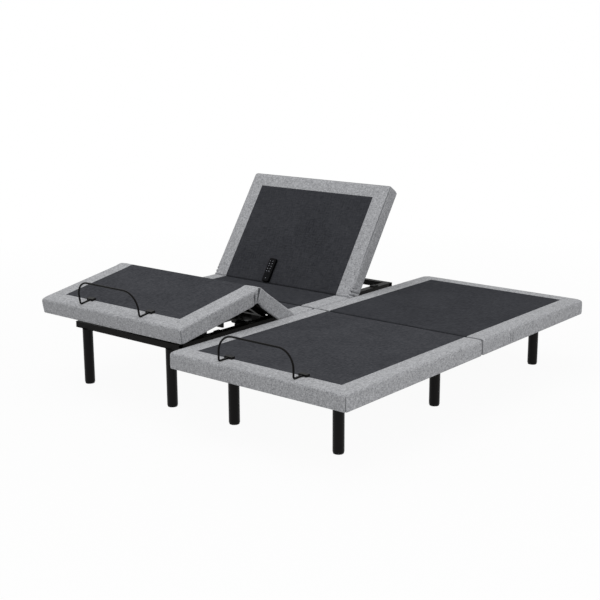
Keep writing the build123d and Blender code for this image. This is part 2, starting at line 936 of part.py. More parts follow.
# Pieces of the fixed frame, which both bases have alike
with BuildPart() as legs:
    with Locations(*leg_places):
        add(make_leg())
with BuildPart() as leg_feet:
    with Locations(*leg_places):
        add(make_leg_foot())
axes = [(arm_y, arm_z), (thigh_y, hinge_z), (head_y, hinge_z)]
pins = [piece for axis in axes for piece in both_sides(pin_at(*axis))]
write("legs", [legs.part], bases)
write("leg_feet", [leg_feet.part], bases)
write("cross_beams", make_cross_beams(), bases)
write("side_rails", make_rails(), bases)
write("hinge_pins", pins, bases)
write("deck_bumpers", make_bumpers(), bases)
write("drive_tubes", make_drive_tubes(), bases)
head_motor = make_drive_motor(drive_offset, head_gearbox, -1)
leg_motor = make_drive_motor(-drive_offset, leg_gearbox, 1)
write("drive_motors", [head_motor, leg_motor], bases)
write("control_boxes", [make_control_box()], bases)
seats = [panels["seat_front"], panels["seat_rear"]]
write("seat_decks", [make_deck(*ends) for ends in seats], bases)
write("seat_pads", [make_pad(*ends) for ends in seats], bases)
write("seat_cloths", [make_cloth(*ends) for ends in seats], bases)

# Pieces that move, each written once for either base
head_rod = make_push_rod(drive_offset, head_pin, 1, head_push_gap, head_gearbox[1] + head_rod_clearance)
leg_rod = make_push_rod(-drive_offset, leg_pin, -1, leg_push_gap, leg_gearbox[0] - leg_rod_clearance)
moving = {
    "head_push_rod": ("head_rod", [head_rod]),
    "leg_push_rod": ("leg_rod", [leg_rod]),
    "head_subframe": ("head", [make_head_subframe()]),
    "thigh_subframe": ("thigh", [make_thigh_subframe()]),
    "knee_pins": ("thigh", make_knee_pins()),
    "foot_subframe": ("foot", [make_foot_subframe()]),
    "foot_arm": ("arm", [make_foot_arm()]),
    "retainer_bar": ("foot", [make_retainer_bar()]),
    "retainer_clips": ("foot", make_retainer_clips()),
}
for section in ("head", "thigh", "foot"):
    moving[f"{section}_deck"] = (section, [make_deck(*panels[section])])
    moving[f"{section}_pad"] = (section, [make_pad(*panels[section])])
    moving[f"{section}_cloth"] = (section, [make_cloth(*panels[section])])
for side in stance:
    for name, (body, pieces) in moving.items():
        write(f"{side}_{name}", pieces, [stand[side][body]])

# Remote control on the left head panel
left_head = [stand["left"]["head"]]
write("remote_front_case", [make_remote_half(True)], left_head)
write("remote_back_case", [make_remote_half(False)], left_head)
for number, spot in enumerate(key_spots, start=1):
    write(f"remote_key_{number}", [make_key(spot)], left_head)
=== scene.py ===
"""Looks of a split pair of upholstered adjustable bed bases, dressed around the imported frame."""

from __future__ import annotations

import json
import logging
import math
from dataclasses import dataclass, field
from enum import Enum

import bmesh
import bpy
import numpy as np
from bmesh.types import BMEdge, BMesh, BMVert
from bpy.types import Material, Node, NodeSocket, NodeTree, Object
from mathutils import Matrix, Vector

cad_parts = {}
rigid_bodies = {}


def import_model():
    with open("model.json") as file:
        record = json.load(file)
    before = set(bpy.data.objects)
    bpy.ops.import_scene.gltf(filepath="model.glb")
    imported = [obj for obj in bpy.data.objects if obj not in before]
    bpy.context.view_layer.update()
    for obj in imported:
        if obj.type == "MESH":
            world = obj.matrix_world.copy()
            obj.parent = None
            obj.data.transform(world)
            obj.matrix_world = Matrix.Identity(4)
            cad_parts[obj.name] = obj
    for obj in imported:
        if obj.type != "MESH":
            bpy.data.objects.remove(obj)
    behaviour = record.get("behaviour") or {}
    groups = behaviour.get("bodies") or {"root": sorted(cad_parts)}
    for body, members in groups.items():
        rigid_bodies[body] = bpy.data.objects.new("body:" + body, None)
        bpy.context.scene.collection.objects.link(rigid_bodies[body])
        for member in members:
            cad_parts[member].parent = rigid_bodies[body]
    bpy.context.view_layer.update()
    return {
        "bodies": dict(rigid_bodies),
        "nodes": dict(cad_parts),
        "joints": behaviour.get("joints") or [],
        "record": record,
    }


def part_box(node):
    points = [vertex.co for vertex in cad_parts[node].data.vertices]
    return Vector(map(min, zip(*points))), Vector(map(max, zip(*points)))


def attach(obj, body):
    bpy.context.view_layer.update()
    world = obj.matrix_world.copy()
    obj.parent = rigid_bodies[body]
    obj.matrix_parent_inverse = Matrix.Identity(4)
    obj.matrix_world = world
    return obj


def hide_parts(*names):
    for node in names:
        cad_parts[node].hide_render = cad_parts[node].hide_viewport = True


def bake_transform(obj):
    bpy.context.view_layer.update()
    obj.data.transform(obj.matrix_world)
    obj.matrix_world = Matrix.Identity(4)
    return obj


LOG = logging.getLogger("bed_base")
MM = 0.001
TINY = 1e-5  # closest that two places may lie and still be two, in metres
SHARE_TINY = 1e-4  # the same for shares of a width
FACING = 0.5  # share of a face's normal along an axis from which it counts as facing that way
LEAST_LEAN = 0.1  # share of a normal across the bed below which a point isn't drawn in
SHARP = math.radians(50)  # edges bent further than this stay sharp
HALVINGS = 36  # steps in which a bend is narrowed down
KEYS = 10  # keys of the remote
Y_AXIS, Z_AXIS = 1, 2


class Side(Enum):
    """Which base of the pair."""

    LEFT = "left"
    RIGHT = "right"


class Stretch(Enum):
    """Which stretch of a base's upholstery."""

    HEAD = "head"
    SEAT = "seat"
    FOOT = "foot"


class Rim(Enum):
    """How a cover ends along the bed."""

    WALL = "wall"
    PARTING = "parting"
    JOIN = "join"


def linear(code: str) -> tuple[float, float, float, float]:
    """Turn an sRGB hex colour into linear values.

    Args:
        code: colour such as "#A0A3A6".

    Returns:
        Red, green, blue and alpha in linear light.
    """
    shares = [int(code[i : i + 2], 16) / 255 for i in (1, 3, 5)]
    lit = [c / 12.92 if c <= 0.04045 else ((c + 0.055) / 1.055) ** 2.4 for c in shares]
    return (*lit, 1.0)


def add_node(tree: NodeTree, kind: str, settings: dict | None = None, **links: object) -> Node:
    """Add a node with its settings and links.

    Args:
        tree: node tree that gets the node.
        kind: Blender's name of the node type.
        settings: attributes, and socket values keyed by name or index, to set on the node.
        links: sockets to link, keyed by input name with underscores for spaces, or i and a number.

    Returns:
        The new node.
    """
    node = tree.nodes.new(kind)
    for key, value in (settings or {}).items():
        if isinstance(key, int) or key in node.inputs:
            node.inputs[key].default_value = value
        else:
            setattr(node, key, value)
    for key, socket in links.items():
        target = int(key[1:]) if key[0] == "i" and key[1:].isdigit() else key.replace("_", " ")
        tree.links.new(socket, node.inputs[target])
    return node


@dataclass(frozen=True)
class Finish:
    """A surface finish that makes one material.

    Attributes:
        name: what the real material is.
        tone: main colour, as sRGB hex.
        shade: second colour of its pattern.
        roughness: how dull the surface is.
        grain_mm: size of its surface pattern.
        relief_mm: height of its surface pattern.
        gloss: share of the shader's mirror light.
        relief_share: how much of the relief shows in the light.
        patch_mm: size of the wide patches of tone.
        grain_detail: how finely the surface pattern is broken up.
        patch_detail: the same for the wide patches.
    """

    name: str
    tone: str
    shade: str
    roughness: float
    grain_mm: float = 1.0
    relief_mm: float = 0.05
    gloss: float = 0.5
    relief_share: float = 0.6
    patch_mm: float = 111.1
    grain_detail: float = 3.0
    patch_detail: float = 2.0

    def blank(self) -> tuple[Material, NodeTree, Node]:
        """Start a node material with one shader.

        Returns:
            The material, its node tree and its shader.
        """
        made = bpy.data.materials.new(self.name)
        made.use_nodes = True
        tree = made.node_tree
        shader = tree.nodes["Principled BSDF"]
        shader.inputs["Roughness"].default_value = self.roughness
        shader.inputs["Specular IOR Level"].default_value = self.gloss
        return made, tree, shader

    def relief(self, tree: NodeTree, height: NodeSocket) -> NodeSocket:
        """Turn a height pattern into a bumped normal.

        Args:
            tree: node tree to add to.
            height: socket that gives the height, from 0 to 1.

        Returns:
            The normal's socket.
        """
        bump = add_node(
            tree,
            "ShaderNodeBump",
            {"Strength": self.relief_share, "Distance": self.relief_mm * MM},
            Height=height,
        )
        return bump.outputs["Normal"]

    def material(self) -> Material:
        """Make the finish, a coat with a fine uneven grain and wide faint patches.

        Returns:
            The material.
        """
        made, tree, shader = self.blank()
        place = add_node(tree, "ShaderNodeTexCoord").outputs["Object"]
        grain, wide = (
            add_node(tree, "ShaderNodeTexNoise", {"Scale": 1 / (size * MM), "Detail": detail}, Vector=place)
            for size, detail in ((self.grain_mm, self.grain_detail), (self.patch_mm, self.patch_detail))
        )
        colour = add_node(
            tree,
            "ShaderNodeMix",
            {"data_type": "RGBA", 6: linear(self.tone), 7: linear(self.shade)},
            Factor=wide.outputs["Fac"],
        )
        tree.links.new(colour.outputs[2], shader.inputs["Base Color"])
        tree.links.new(self.relief(tree, grain.outputs["Fac"]), shader.inputs["Normal"])
        return made


@dataclass(frozen=True)
class Weave(Finish):
    """Cloth of light and dark yarn on each piece's own flat coordinates, with painted shade deep in seams,
    creases and the parting.

    Attributes:
        run_mm: length over which one yarn shows.
        seam_and_shade_tone: colour of the dark seam lines and of the painted shade deep in a crease, along
            a drawn-in seam and in the parting.
        ragged: how rough the yarn's edges are.
        yarn_low: sum of the yarn patterns at which the cloth is wholly dark.
        yarn_high: the sum at which it is wholly light.
    """

    run_mm: float = 15.0
    # dark colour of the seam layer: painted shade in creases and the parting, and the seam lines
    seam_and_shade_tone: str = "#46484B"
    ragged: float = 0.6
    yarn_low: float = 1.2
    yarn_high: float = 1.8

    def yarns(self, tree: NodeTree, place: NodeSocket, ways: int) -> list[NodeSocket]:
        """Patterns of yarn that runs along X, Y and Z.

        Args:
            tree: node tree to add to.
            place: socket of the flat coordinates.
            ways: how many of the three axes have yarn along them.

        Returns:
            A socket from 0 to 1 for each way.
        """
        fine, long = 1 / (self.grain_mm * MM), 1 / (self.run_mm * MM)
        patterns = []
        for way in range(ways):
            scale = [long if axis == way else fine for axis in range(3)]
            stretched = add_node(tree, "ShaderNodeMapping", {"Scale": scale}, Vector=place)
            yarn = add_node(
                tree,
                "ShaderNodeTexNoise",
                {"Scale": 1.0, "Detail": self.grain_detail, "Roughness": self.ragged},
                Vector=stretched.outputs["Vector"],
            )
            patterns.append(yarn.outputs["Fac"])
        return patterns

    def dyed(self, tree: NodeTree, total: NodeSocket, deep: NodeSocket) -> tuple[NodeSocket, NodeSocket]:
        """Colour the cloth by its yarn, and paint shade over it where it lies deep.

        Args:
            tree: node tree to add to.
            total: sum of the yarn patterns.
            deep: share of painted shade and seam colour at a place, from 0 to 1.

        Returns:
            Sockets of the colour and of the yarn spread from 0 to 1.
        """
        spread = add_node(
            tree, "ShaderNodeMapRange", {"From Min": self.yarn_low, "From Max": self.yarn_high}, Value=total
        )
        weave = add_node(
            tree,
            "ShaderNodeMix",
            {"data_type": "RGBA", 6: linear(self.shade), 7: linear(self.tone)},
            Factor=spread.outputs[0],
        )
        # painted shade and seam colour mixed over the weave
        colour = add_node(
            tree,
            "ShaderNodeMix",
            {"data_type": "RGBA", 7: linear(self.seam_and_shade_tone)},
            Factor=deep,
            i6=weave.outputs[2],
        )
        return colour.outputs[2], spread.outputs[0]


@dataclass(frozen=True)
class HeatherLinen(Weave):
    """Woven upholstery of mixed light and dark grey yarn: mottled, matt, with short slubs both ways.

    Attributes:
        sheen: share of light that the nap throws back at a flat angle.
        sheen_roughness: how widely it does so.
        seam_and_shade_from: value of the seam layer at which the seam colour and painted shade start to
            show.
        seam_and_shade_most: share of that dark colour at its deepest.
    """

    relief_share: float = 0.8
    grain_detail: float = 2.0
    sheen: float = 0.12
    sheen_roughness: float = 0.6
    seam_and_shade_from: float = 0.3
    seam_and_shade_most: float = 0.8

    def material(self) -> Material:
        """Make the weave, drawn coarse enough to show in the picture.

        Returns:
            The material.
        """
        made, tree, shader = self.blank()
        shader.inputs["Sheen Weight"].default_value = self.sheen
        shader.inputs["Sheen Roughness"].default_value = self.sheen_roughness
        place = add_node(tree, "ShaderNodeAttribute", {"attribute_name": "flat"}).outputs["Vector"]
        yarns = self.yarns(tree, place, ways=3)
        pair = add_node(tree, "ShaderNodeMath", {"operation": "ADD"}, i0=yarns[0], i1=yarns[1])
        total = add_node(tree, "ShaderNodeMath", {"operation": "ADD"}, i0=pair.outputs[0], i1=yarns[2])
        # the seam layer darkens the colour: painted shade in creases, on the parting's lips and along the
        # top edge's seam, and the corner seams' dark lines
        crease = add_node(tree, "ShaderNodeAttribute", {"attribute_name": "seam"}).outputs["Fac"]
        deep = add_node(
            tree, "ShaderNodeMapRange", {"From Min": self.seam_and_shade_from, "To Max": self.seam_and_shade_most}, Value=crease
        )
        colour, spread = self.dyed(tree, total.outputs[0], deep.outputs[0])
        tree.links.new(colour, shader.inputs["Base Color"])
        tree.links.new(self.relief(tree, spread), shader.inputs["Normal"])
        return made


@dataclass(frozen=True)
class DeckWeave(Weave):
    """Charcoal non-slip deck cloth: a plain tight weave with faint bars and a soft uneven tone.

    Attributes:
        cloud_share: weight of the wide patches beside the yarn.
    """

    relief_share: float = 0.7
    patch_mm: float = 200.0
    patch_detail: float = 3.0
    run_mm: float = 20.0
    # near black: painted shade down in the parting
    seam_and_shade_tone: str = "#0B0B0C"
    ragged: float = 0.65
    yarn_low: float = 0.875
    yarn_high: float = 1.475
    cloud_share: float = 0.35

    def material(self) -> Material:
        """Make the weave from crossed threads, drawn coarser than real so that it shows.

        Returns:
            The material.
        """
        made, tree, shader = self.blank()
        place = add_node(tree, "ShaderNodeAttribute", {"attribute_name": "flat"}).outputs["Vector"]
        yarns = self.yarns(tree, place, ways=2)
        pair = add_node(tree, "ShaderNodeMath", {"operation": "ADD"}, i0=yarns[0], i1=yarns[1])
        cloud = add_node(
            tree,
            "ShaderNodeTexNoise",
            {"Scale": 1 / (self.patch_mm * MM), "Detail": self.patch_detail},
            Vector=place,
        )
        total = add_node(
            tree,
            "ShaderNodeMath",
            {"operation": "MULTIPLY_ADD", 1: self.cloud_share},
            i0=cloud.outputs["Fac"],
            i2=pair.outputs[0],
        )
        # the seam layer darkens the cloth into the parting: painted shade
        lip = add_node(tree, "ShaderNodeAttribute", {"attribute_name": "seam"}).outputs["Fac"]
        colour, _ = self.dyed(tree, total.outputs[0], lip)
        tree.links.new(colour, shader.inputs["Base Color"])
        tree.links.new(self.relief(tree, pair.outputs[0]), shader.inputs["Normal"])
        return made


@dataclass(frozen=True)
class GlossEnamel(Finish):
    """Stove enamel on tube: a deep gloss coat that runs smooth, with a faint orange peel and dust.

    Attributes:
        coat: share of the clear coat.
        coat_roughness: how dull that coat is.
    """

    relief_share: float = 0.3
    patch_mm: float = 25.0
    grain_detail: float = 2.0
    patch_detail: float = 4.0
    coat: float = 0.02
    coat_roughness: float = 0.12

    def material(self) -> Material:
        """Make the enamel as a clear coat over a dark ground.

        Returns:
            The material.
        """
        made = super().material()
        shader = made.node_tree.nodes["Principled BSDF"]
        shader.inputs["Coat Weight"].default_value = self.coat
        shader.inputs["Coat Roughness"].default_value = self.coat_roughness
        return made


@dataclass(frozen=True)
class PlatedSteel(Finish):
    """Zinc-plated turned steel: bright, with fine tool lines as wide as the grain.

    Attributes:
        line_mm: length of a tool line.
        polish: how much less dull the brightest lines are.
        wear: how much duller the dullest are.
    """

    relief_share: float = 0.3
    line_mm: float = 16.67
    polish: float = 0.08
    wear: float = 0.12

    def material(self) -> Material:
        """Make the plating with drawn lines and uneven gloss.

        Returns:
            The material.
        """
        made, tree, shader = self.blank()
        shader.inputs["Metallic"].default_value = 1.0
        place = add_node(tree, "ShaderNodeTexCoord").outputs["Object"]
        fine, long = 1 / (self.grain_mm * MM), 1 / (self.line_mm * MM)
        drawn = add_node(tree, "ShaderNodeMapping", {"Scale": (fine, long, fine)}, Vector=place)
        lines = add_node(
            tree,
            "ShaderNodeTexNoise",
            {"Scale": 1.0, "Detail": self.grain_detail},
            Vector=drawn.outputs["Vector"],
        )
        colour = add_node(
            tree,
            "ShaderNodeMix",
            {"data_type": "RGBA", 6: linear(self.tone), 7: linear(self.shade)},
            Factor=lines.outputs["Fac"],
        )
        dull = add_node(
            tree,
            "ShaderNodeMapRange",
            {"To Min": self.roughness - self.polish, "To Max": self.roughness + self.wear},
            Value=lines.outputs["Fac"],
        )
        tree.links.new(colour.outputs[2], shader.inputs["Base Color"])
        tree.links.new(dull.outputs[0], shader.inputs["Roughness"])
        tree.links.new(self.relief(tree, lines.outputs["Fac"]), shader.inputs["Normal"])
        return made


FINISHES: dict[str, Finish] = {
    # linen look: light and dark yarn mixed in the thread, so the grey is flecked and wholly matt
    "border": HeatherLinen(
        "heather_linen", "#C0C1C4", "#757679",
        roughness=0.95, grain_mm=3.0, relief_mm=0.35, gloss=0.05,
    ),
    # tight weave: a flat charcoal with faint crossed bars
    "deck": DeckWeave(
        "charcoal_deck_weave", "#4B4C50", "#2F3034",
        roughness=0.95, grain_mm=4.0, relief_mm=0.25, gloss=0.02,
    ),
    # the same weave with longer bars, a shade darker: painted shade for the head end
    "deck_head": DeckWeave(
        "charcoal_deck_weave_turned", "#434448", "#2B2C30",
        roughness=0.95, grain_mm=3.8, relief_mm=0.25, gloss=0.02, run_mm=40.0,
    ),
    # powder coat: a near-black, slightly grainy skin with a dull shine
    "frame": Finish(
        "black_powder_coat", "#0D0C0C", "#131211",
        roughness=0.5, grain_mm=0.9, relief_mm=0.06, gloss=0.08,
    ),
    # stove enamel: the deepest black, with soft upright streaks of light
    "leg": GlossEnamel(
        "black_stove_enamel", "#090808", "#0E0C0C",
        roughness=0.34, grain_mm=3.0, relief_mm=0.02, gloss=0.1,
    ),
    # painted rod: black with a thin satin line
    "rod": Finish(
        "satin_black_rod", "#060606", "#0A0A0A",
        roughness=0.4, grain_mm=0.8, relief_mm=0.03, gloss=0.08,
    ),
    # moulded nylon: black with a dry sheen
    "moulding": Finish(
        "moulded_black_nylon", "#0D0D0D", "#131313",
        roughness=0.5, grain_mm=0.7, relief_mm=0.06, gloss=0.14,
    ),
    # spark-eroded mould: a fine even grain that stays dark
    "case": Finish(
        "fine_grained_black_abs", "#030305", "#060608",
        roughness=0.5, grain_mm=0.5, relief_mm=0.04, gloss=0.06,
    ),
    # motor housing: a coarser moulded grain, a shade lighter than the remote
    "motor": Finish(
        "motor_case_black_abs", "#121212", "#181818",
        roughness=0.5, grain_mm=1.1, relief_mm=0.08, gloss=0.2,
    ),
    # rubber: dull black
    "rubber": Finish(
        "black_moulded_rubber", "#141414", "#1A1A1A",
        roughness=0.75, grain_mm=1.4, relief_mm=0.08, gloss=0.15,
    ),
    # soft keys: dull charcoal pads that stand off the black case
    "key": Finish(
        "soft_key_rubber", "#0E0E12", "#141418",
        roughness=0.65, grain_mm=0.4, relief_mm=0.02, gloss=0.08,
    ),
    # pad print: pale and flat
    "print": Finish(
        "pale_key_print", "#A6A8B0", "#999BA3",
        roughness=0.55, grain_mm=0.4, relief_mm=0.01, gloss=0.1,
    ),
    # felt under the boards: soft and dark
    "board": Finish(
        "black_felt_backed_board", "#1E1D1D", "#272625",
        roughness=0.97, grain_mm=1.6, relief_mm=0.3, gloss=0.05,
    ),
    # zinc plate: pale grey metal with fine tool lines
    "plated": PlatedSteel(
        "zinc_plated_steel", "#B9BABB", "#8F9092",
        roughness=0.32, grain_mm=1.111, relief_mm=0.01,
    ),
}


def mesh_object(name: str, shape: BMesh, finish: Material) -> Object:
    """Make a smooth-shaded object of a bmesh.

    Args:
        name: the piece's name.
        shape: its mesh, freed here.
        finish: its material.

    Returns:
        The object, linked to the scene.
    """
    data = bpy.data.meshes.new(name)
    shape.to_mesh(data)
    shape.free()
    for face in data.polygons:
        face.use_smooth = True
    data.set_sharp_from_angle(angle=SHARP)
    data.materials.append(finish)
    piece = bpy.data.objects.new(name, data)
    bpy.context.scene.collection.objects.link(piece)
    return piece


def push(shape: BMesh, moves: list[Vector]) -> None:
    """Move every point of a mesh by its own step."""
    for vert, move in zip(shape.verts, moves):
        vert.co += move


def draw_out(shape: BMesh, edges: list[BMEdge]) -> tuple[set[BMVert], list[BMEdge]]:
    """Extrude a row of edges, with the new row still in the old one's place.

    Args:
        shape: the mesh.
        edges: the row.

    Returns:
        The new row's points and edges.
    """
    made = bmesh.ops.extrude_edge_only(shape, edges=edges)["geom"]
    points = {part for part in made if isinstance(part, BMVert)}
    row = [part for part in made if isinstance(part, BMEdge) and points.issuperset(part.verts)]
    return points, row


def lies_at(edge: BMEdge, axis: int, place: float) -> bool:
    """Whether an edge lies wholly at one place along an axis."""
    return all(abs(vert.co[axis] - place) < TINY for vert in edge.verts)


def bevelled(shape: BMesh, edges: list[BMEdge], radius: float, steps: int) -> None:
    """Round some edges of a mesh.

    Args:
        shape: the mesh.
        edges: the edges.
        radius: how far the rounding reaches from them.
        steps: faces across the rounding.
    """
    bmesh.ops.bevel(
        shape,
        geom=edges,
        offset=radius,
        offset_type="OFFSET",
        segments=steps,
        profile=0.5,
        affect="EDGES",
        material=-1,
        clamp_overlap=True,
    )


def turn_x(pivot: tuple[float, float], angle: float) -> Matrix:
    """Matrix of a turn about an axis along X.

    Args:
        pivot: Y and Z of the axis.
        angle: turn in radians.

    Returns:
        A 4 by 4 matrix.
    """
    to = Matrix.Translation((0, *pivot))
    return to @ Matrix.Rotation(angle, 4, "X") @ to.inverted()


def smoothstep(value: np.ndarray) -> np.ndarray:
    """Smooth rise from 0 to 1."""
    t = np.clip(value, 0, 1)
    return t * t * (3 - 2 * t)


@dataclass
class Fold:
    """A fold that a cover crosses.

    Attributes:
        pivot: Y and Z of the hinge when the base lies flat.
        angle: how far the fold is turned at rest, in radians.
        bodies: names of the bodies before and after the fold; not used.
        toward: +1 if the second body lies towards the head end, otherwise -1.
        span: length of cover over which the turn spreads.
        before: where the first body stands at rest.
    """

    pivot: tuple[float, float]
    angle: float
    bodies: tuple[str, str]
    toward: int
    span: float
    before: Matrix = field(default_factory=lambda: Matrix.Identity(4))

    def ends(self, top: float) -> tuple[Vector, Vector]:
        """Points at rest where the turn starts and stops.

        Args:
            top: height of the deck.

        Returns:
            The start and the end.
        """
        half = self.toward * self.span / 2
        start = self.before @ Vector((0, self.pivot[0] - half, top))
        turned = self.before @ turn_x(self.pivot, self.angle)
        return start, turned @ Vector((0, self.pivot[0] + half, top))

    def carried(self, flat: np.ndarray, share: np.ndarray) -> np.ndarray:
        """Points turned by a share of the fold's angle, then placed with the first body.

        Args:
            flat: points of the flat cover.
            share: share of the turn for each point.

        Returns:
            The points at rest.
        """
        c, s = np.cos(share * self.angle), np.sin(share * self.angle)
        y, z = flat[:, 1] - self.pivot[0], flat[:, 2] - self.pivot[1]
        bent = np.column_stack([flat[:, 0], self.pivot[0] + y * c - z * s, self.pivot[1] + y * s + z * c])
        place = np.array(self.before)
        return bent @ place[:3, :3].T + place[:3, 3]

    def bend(self, flat: np.ndarray, top: float) -> np.ndarray:
        """Bend a flat cover to its rest shape, the turn spread smoothly over the fold's span.

        Args:
            flat: points of the flat cover.
            top: height of the deck.

        Returns:
            The points at rest.
        """
        start, end = (np.array(p) for p in self.ends(top))
        along = end - start
        low, high = np.zeros(len(flat)), np.ones(len(flat))
        for _ in range(HALVINGS):
            middle = (low + high) / 2
            here = self.carried(flat, middle)
            wanted = smoothstep((here - start) @ along / (along @ along))
            less = middle < wanted
            low, high = np.where(less, middle, low), np.where(less, high, middle)
        return self.carried(flat, (low + high) / 2)


@dataclass
class Layout:
    """Sizes of one base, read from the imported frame, in metres.

    Attributes:
        side: which base it is.
        split_from_foot: from the foot end to the split between the two covers.
        head_span: length of cover over which the head fold turns.
        thigh_span: the same at the thigh.
        knee_span: the same at the knee.
    """

    side: Side
    frame: dict
    split_from_foot: float = 1.018
    head_span: float = 68 * MM
    thigh_span: float = 60 * MM
    knee_span: float = 76 * MM

    def __post_init__(self) -> None:
        """Read the sizes from the flat base and the angles from the joints."""
        joints = {joint["name"]: joint for joint in self.frame["joints"]}
        flat = Side.RIGHT.value
        foot_low, foot_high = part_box(f"{flat}_foot_pad")
        head_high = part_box(f"{flat}_head_pad")[1]
        cloth_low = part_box(f"{flat}_foot_cloth")[0]
        cloth_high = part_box(f"{flat}_head_cloth")[1]
        self.middle = joints[self.body("head_tilt")]["pos_m"][0]
        centre = joints[f"{flat}_head_tilt"]["pos_m"][0]
        self.half = (foot_high.x - foot_low.x) / 2
        self.cloth_half = centre - cloth_low.x
        self.foot, self.head = foot_low.y, head_high.y
        self.cloth_foot, self.cloth_head = cloth_low.y, cloth_high.y
        self.bottom, self.top = foot_low.z, foot_high.z
        self.split = self.foot + self.split_from_foot
        turns = ("head_tilt", "thigh_tilt", "knee_fold")
        spots = {name: joints[f"{flat}_{name}"]["pos_m"][1:] for name in turns}
        self.head_axis, self.thigh_axis, self.knee_axis = (tuple(spot) for spot in spots.values())
        self.mid_thigh = (self.knee_axis[0] + self.thigh_axis[0]) / 2
        rest = {name: -math.radians(joints[self.body(name)]["range_deg"][0]) for name in turns}
        self.head_angle, self.thigh_angle, self.knee_angle = rest.values()

    def body(self, name: str) -> str:
        """Full name of one of this base's bodies or joints."""
        return f"{self.side.value}_{name}"

    def head_place(self) -> Matrix:
        """Where the head panel stands at rest."""
        return turn_x(self.head_axis, self.head_angle)

    def folds(self) -> dict[Stretch, Fold]:
        """The fold that each stretch of cover crosses.

        Returns:
            The head, thigh and knee folds.
        """
        head, thigh, foot = (self.body(name) for name in ("head", "thigh", "foot"))
        raised = turn_x(self.thigh_axis, -self.thigh_angle)
        return {
            Stretch.HEAD: Fold(self.head_axis, self.head_angle, ("root", head), 1, self.head_span),
            Stretch.SEAT: Fold(self.thigh_axis, -self.thigh_angle, ("root", thigh), -1, self.thigh_span),
            Stretch.FOOT: Fold(self.knee_axis, self.knee_angle, (thigh, foot), -1, self.knee_span, raised),
        }


@dataclass(frozen=True)
class Crease:
    """An upright crease in the side cloth beside a fold.

    Attributes:
        at_mm: where it lies, from the fold towards the head end.
        width_mm: half its width.
        depth_mm: how deep it is.
        low: share of the side's height where it starts.
        high: share of the height where it has died out.
        only_turned: whether it shows only on a base that stands raised.
        lean_mm: how far its lower end lies from its upper end, towards the head end.
        fade_high: share of the height over which it dies out upwards.
        fade_low: share of the height over which it dies out downwards.
        ridge_share: height of the ridges beside it, as a share of its depth.
        ridge_at: how far off they lie, in half widths.
        ridge_width: half their width, in half widths.
    """

    at_mm: float
    width_mm: float
    depth_mm: float
    low: float = 0.0
    high: float = 0.7
    only_turned: bool = False
    lean_mm: float = 0.0
    fade_high: float = 0.35
    fade_low: float = 0.12
    ridge_share: float = 0.45
    ridge_at: float = 2.2
    ridge_width: float = 1.1

    def depth(self, off_mm: float, share: float) -> float:
        """Depth of the crease at a place, in mm.

        Args:
            off_mm: distance from the fold.
            share: share of the side's height.

        Returns:
            Depth, below 0 on the ridges beside it.
        """
        fade = float(smoothstep(np.array((self.high - share) / self.fade_high)))
        fade *= float(smoothstep(np.array((share - self.low + self.fade_low) / self.fade_low)))
        away = abs(off_mm - self.at_mm - self.lean_mm * (1 - share)) / self.width_mm
        ridge = self.ridge_share * math.exp(-(((away - self.ridge_at) / self.ridge_width) ** 2))
        return self.depth_mm * fade * (math.exp(-(away**2)) - ridge)


@dataclass(frozen=True)
class Pinch:
    """A bunch of small creases on the border's top beside a fold.

    Attributes:
        depth_mm: how deep they are.
        centre_mm: where the bunch lies, from the fold towards the head end.
    """

    depth_mm: float
    centre_mm: float = 0.0


CREASES: dict[Stretch, tuple[Crease, ...]] = {
    Stretch.HEAD: (
        Crease(at_mm=-106, width_mm=4.5, depth_mm=2.4, low=0.2, high=0.55),
        Crease(at_mm=-85, width_mm=4.0, depth_mm=4.2, low=0.15, high=0.75),
        Crease(at_mm=-64, width_mm=4.0, depth_mm=5.6, low=0.15, high=0.9),
        Crease(at_mm=-44, width_mm=4.5, depth_mm=5.0, low=0.15, high=0.9),
        Crease(at_mm=-25, width_mm=5.0, depth_mm=2.6, low=0.2, high=0.7),
        Crease(at_mm=14, width_mm=3.5, depth_mm=3.4, low=0.2, high=1.3, only_turned=True),
        Crease(at_mm=44, width_mm=3.4, depth_mm=4.4, low=0.1, high=1.35, only_turned=True, lean_mm=12),
        Crease(at_mm=60, width_mm=3.6, depth_mm=4.6, low=0.1, high=1.35, only_turned=True, lean_mm=20),
        Crease(at_mm=78, width_mm=3.6, depth_mm=3.6, low=0.1, high=1.3, only_turned=True, lean_mm=28),
    ),
    Stretch.SEAT: (
        Crease(at_mm=-12, width_mm=4.5, depth_mm=1.4, low=0.3, high=1.2, only_turned=True),
        Crease(at_mm=16, width_mm=5.0, depth_mm=1.6, low=0.2, high=1.2, only_turned=True),
    ),
    Stretch.FOOT: (
        Crease(at_mm=-38, width_mm=6.5, depth_mm=10.0, high=0.85, only_turned=True),
        Crease(at_mm=0, width_mm=8.5, depth_mm=10.0, high=1.2, only_turned=True, lean_mm=-18),
    ),
}
PINCHES: dict[Stretch, Pinch] = {
    Stretch.HEAD: Pinch(depth_mm=5.0, centre_mm=56),
    Stretch.SEAT: Pinch(depth_mm=1.6),
    Stretch.FOOT: Pinch(depth_mm=0.8),
}
FLAT_PINCH = Pinch(depth_mm=0.4)


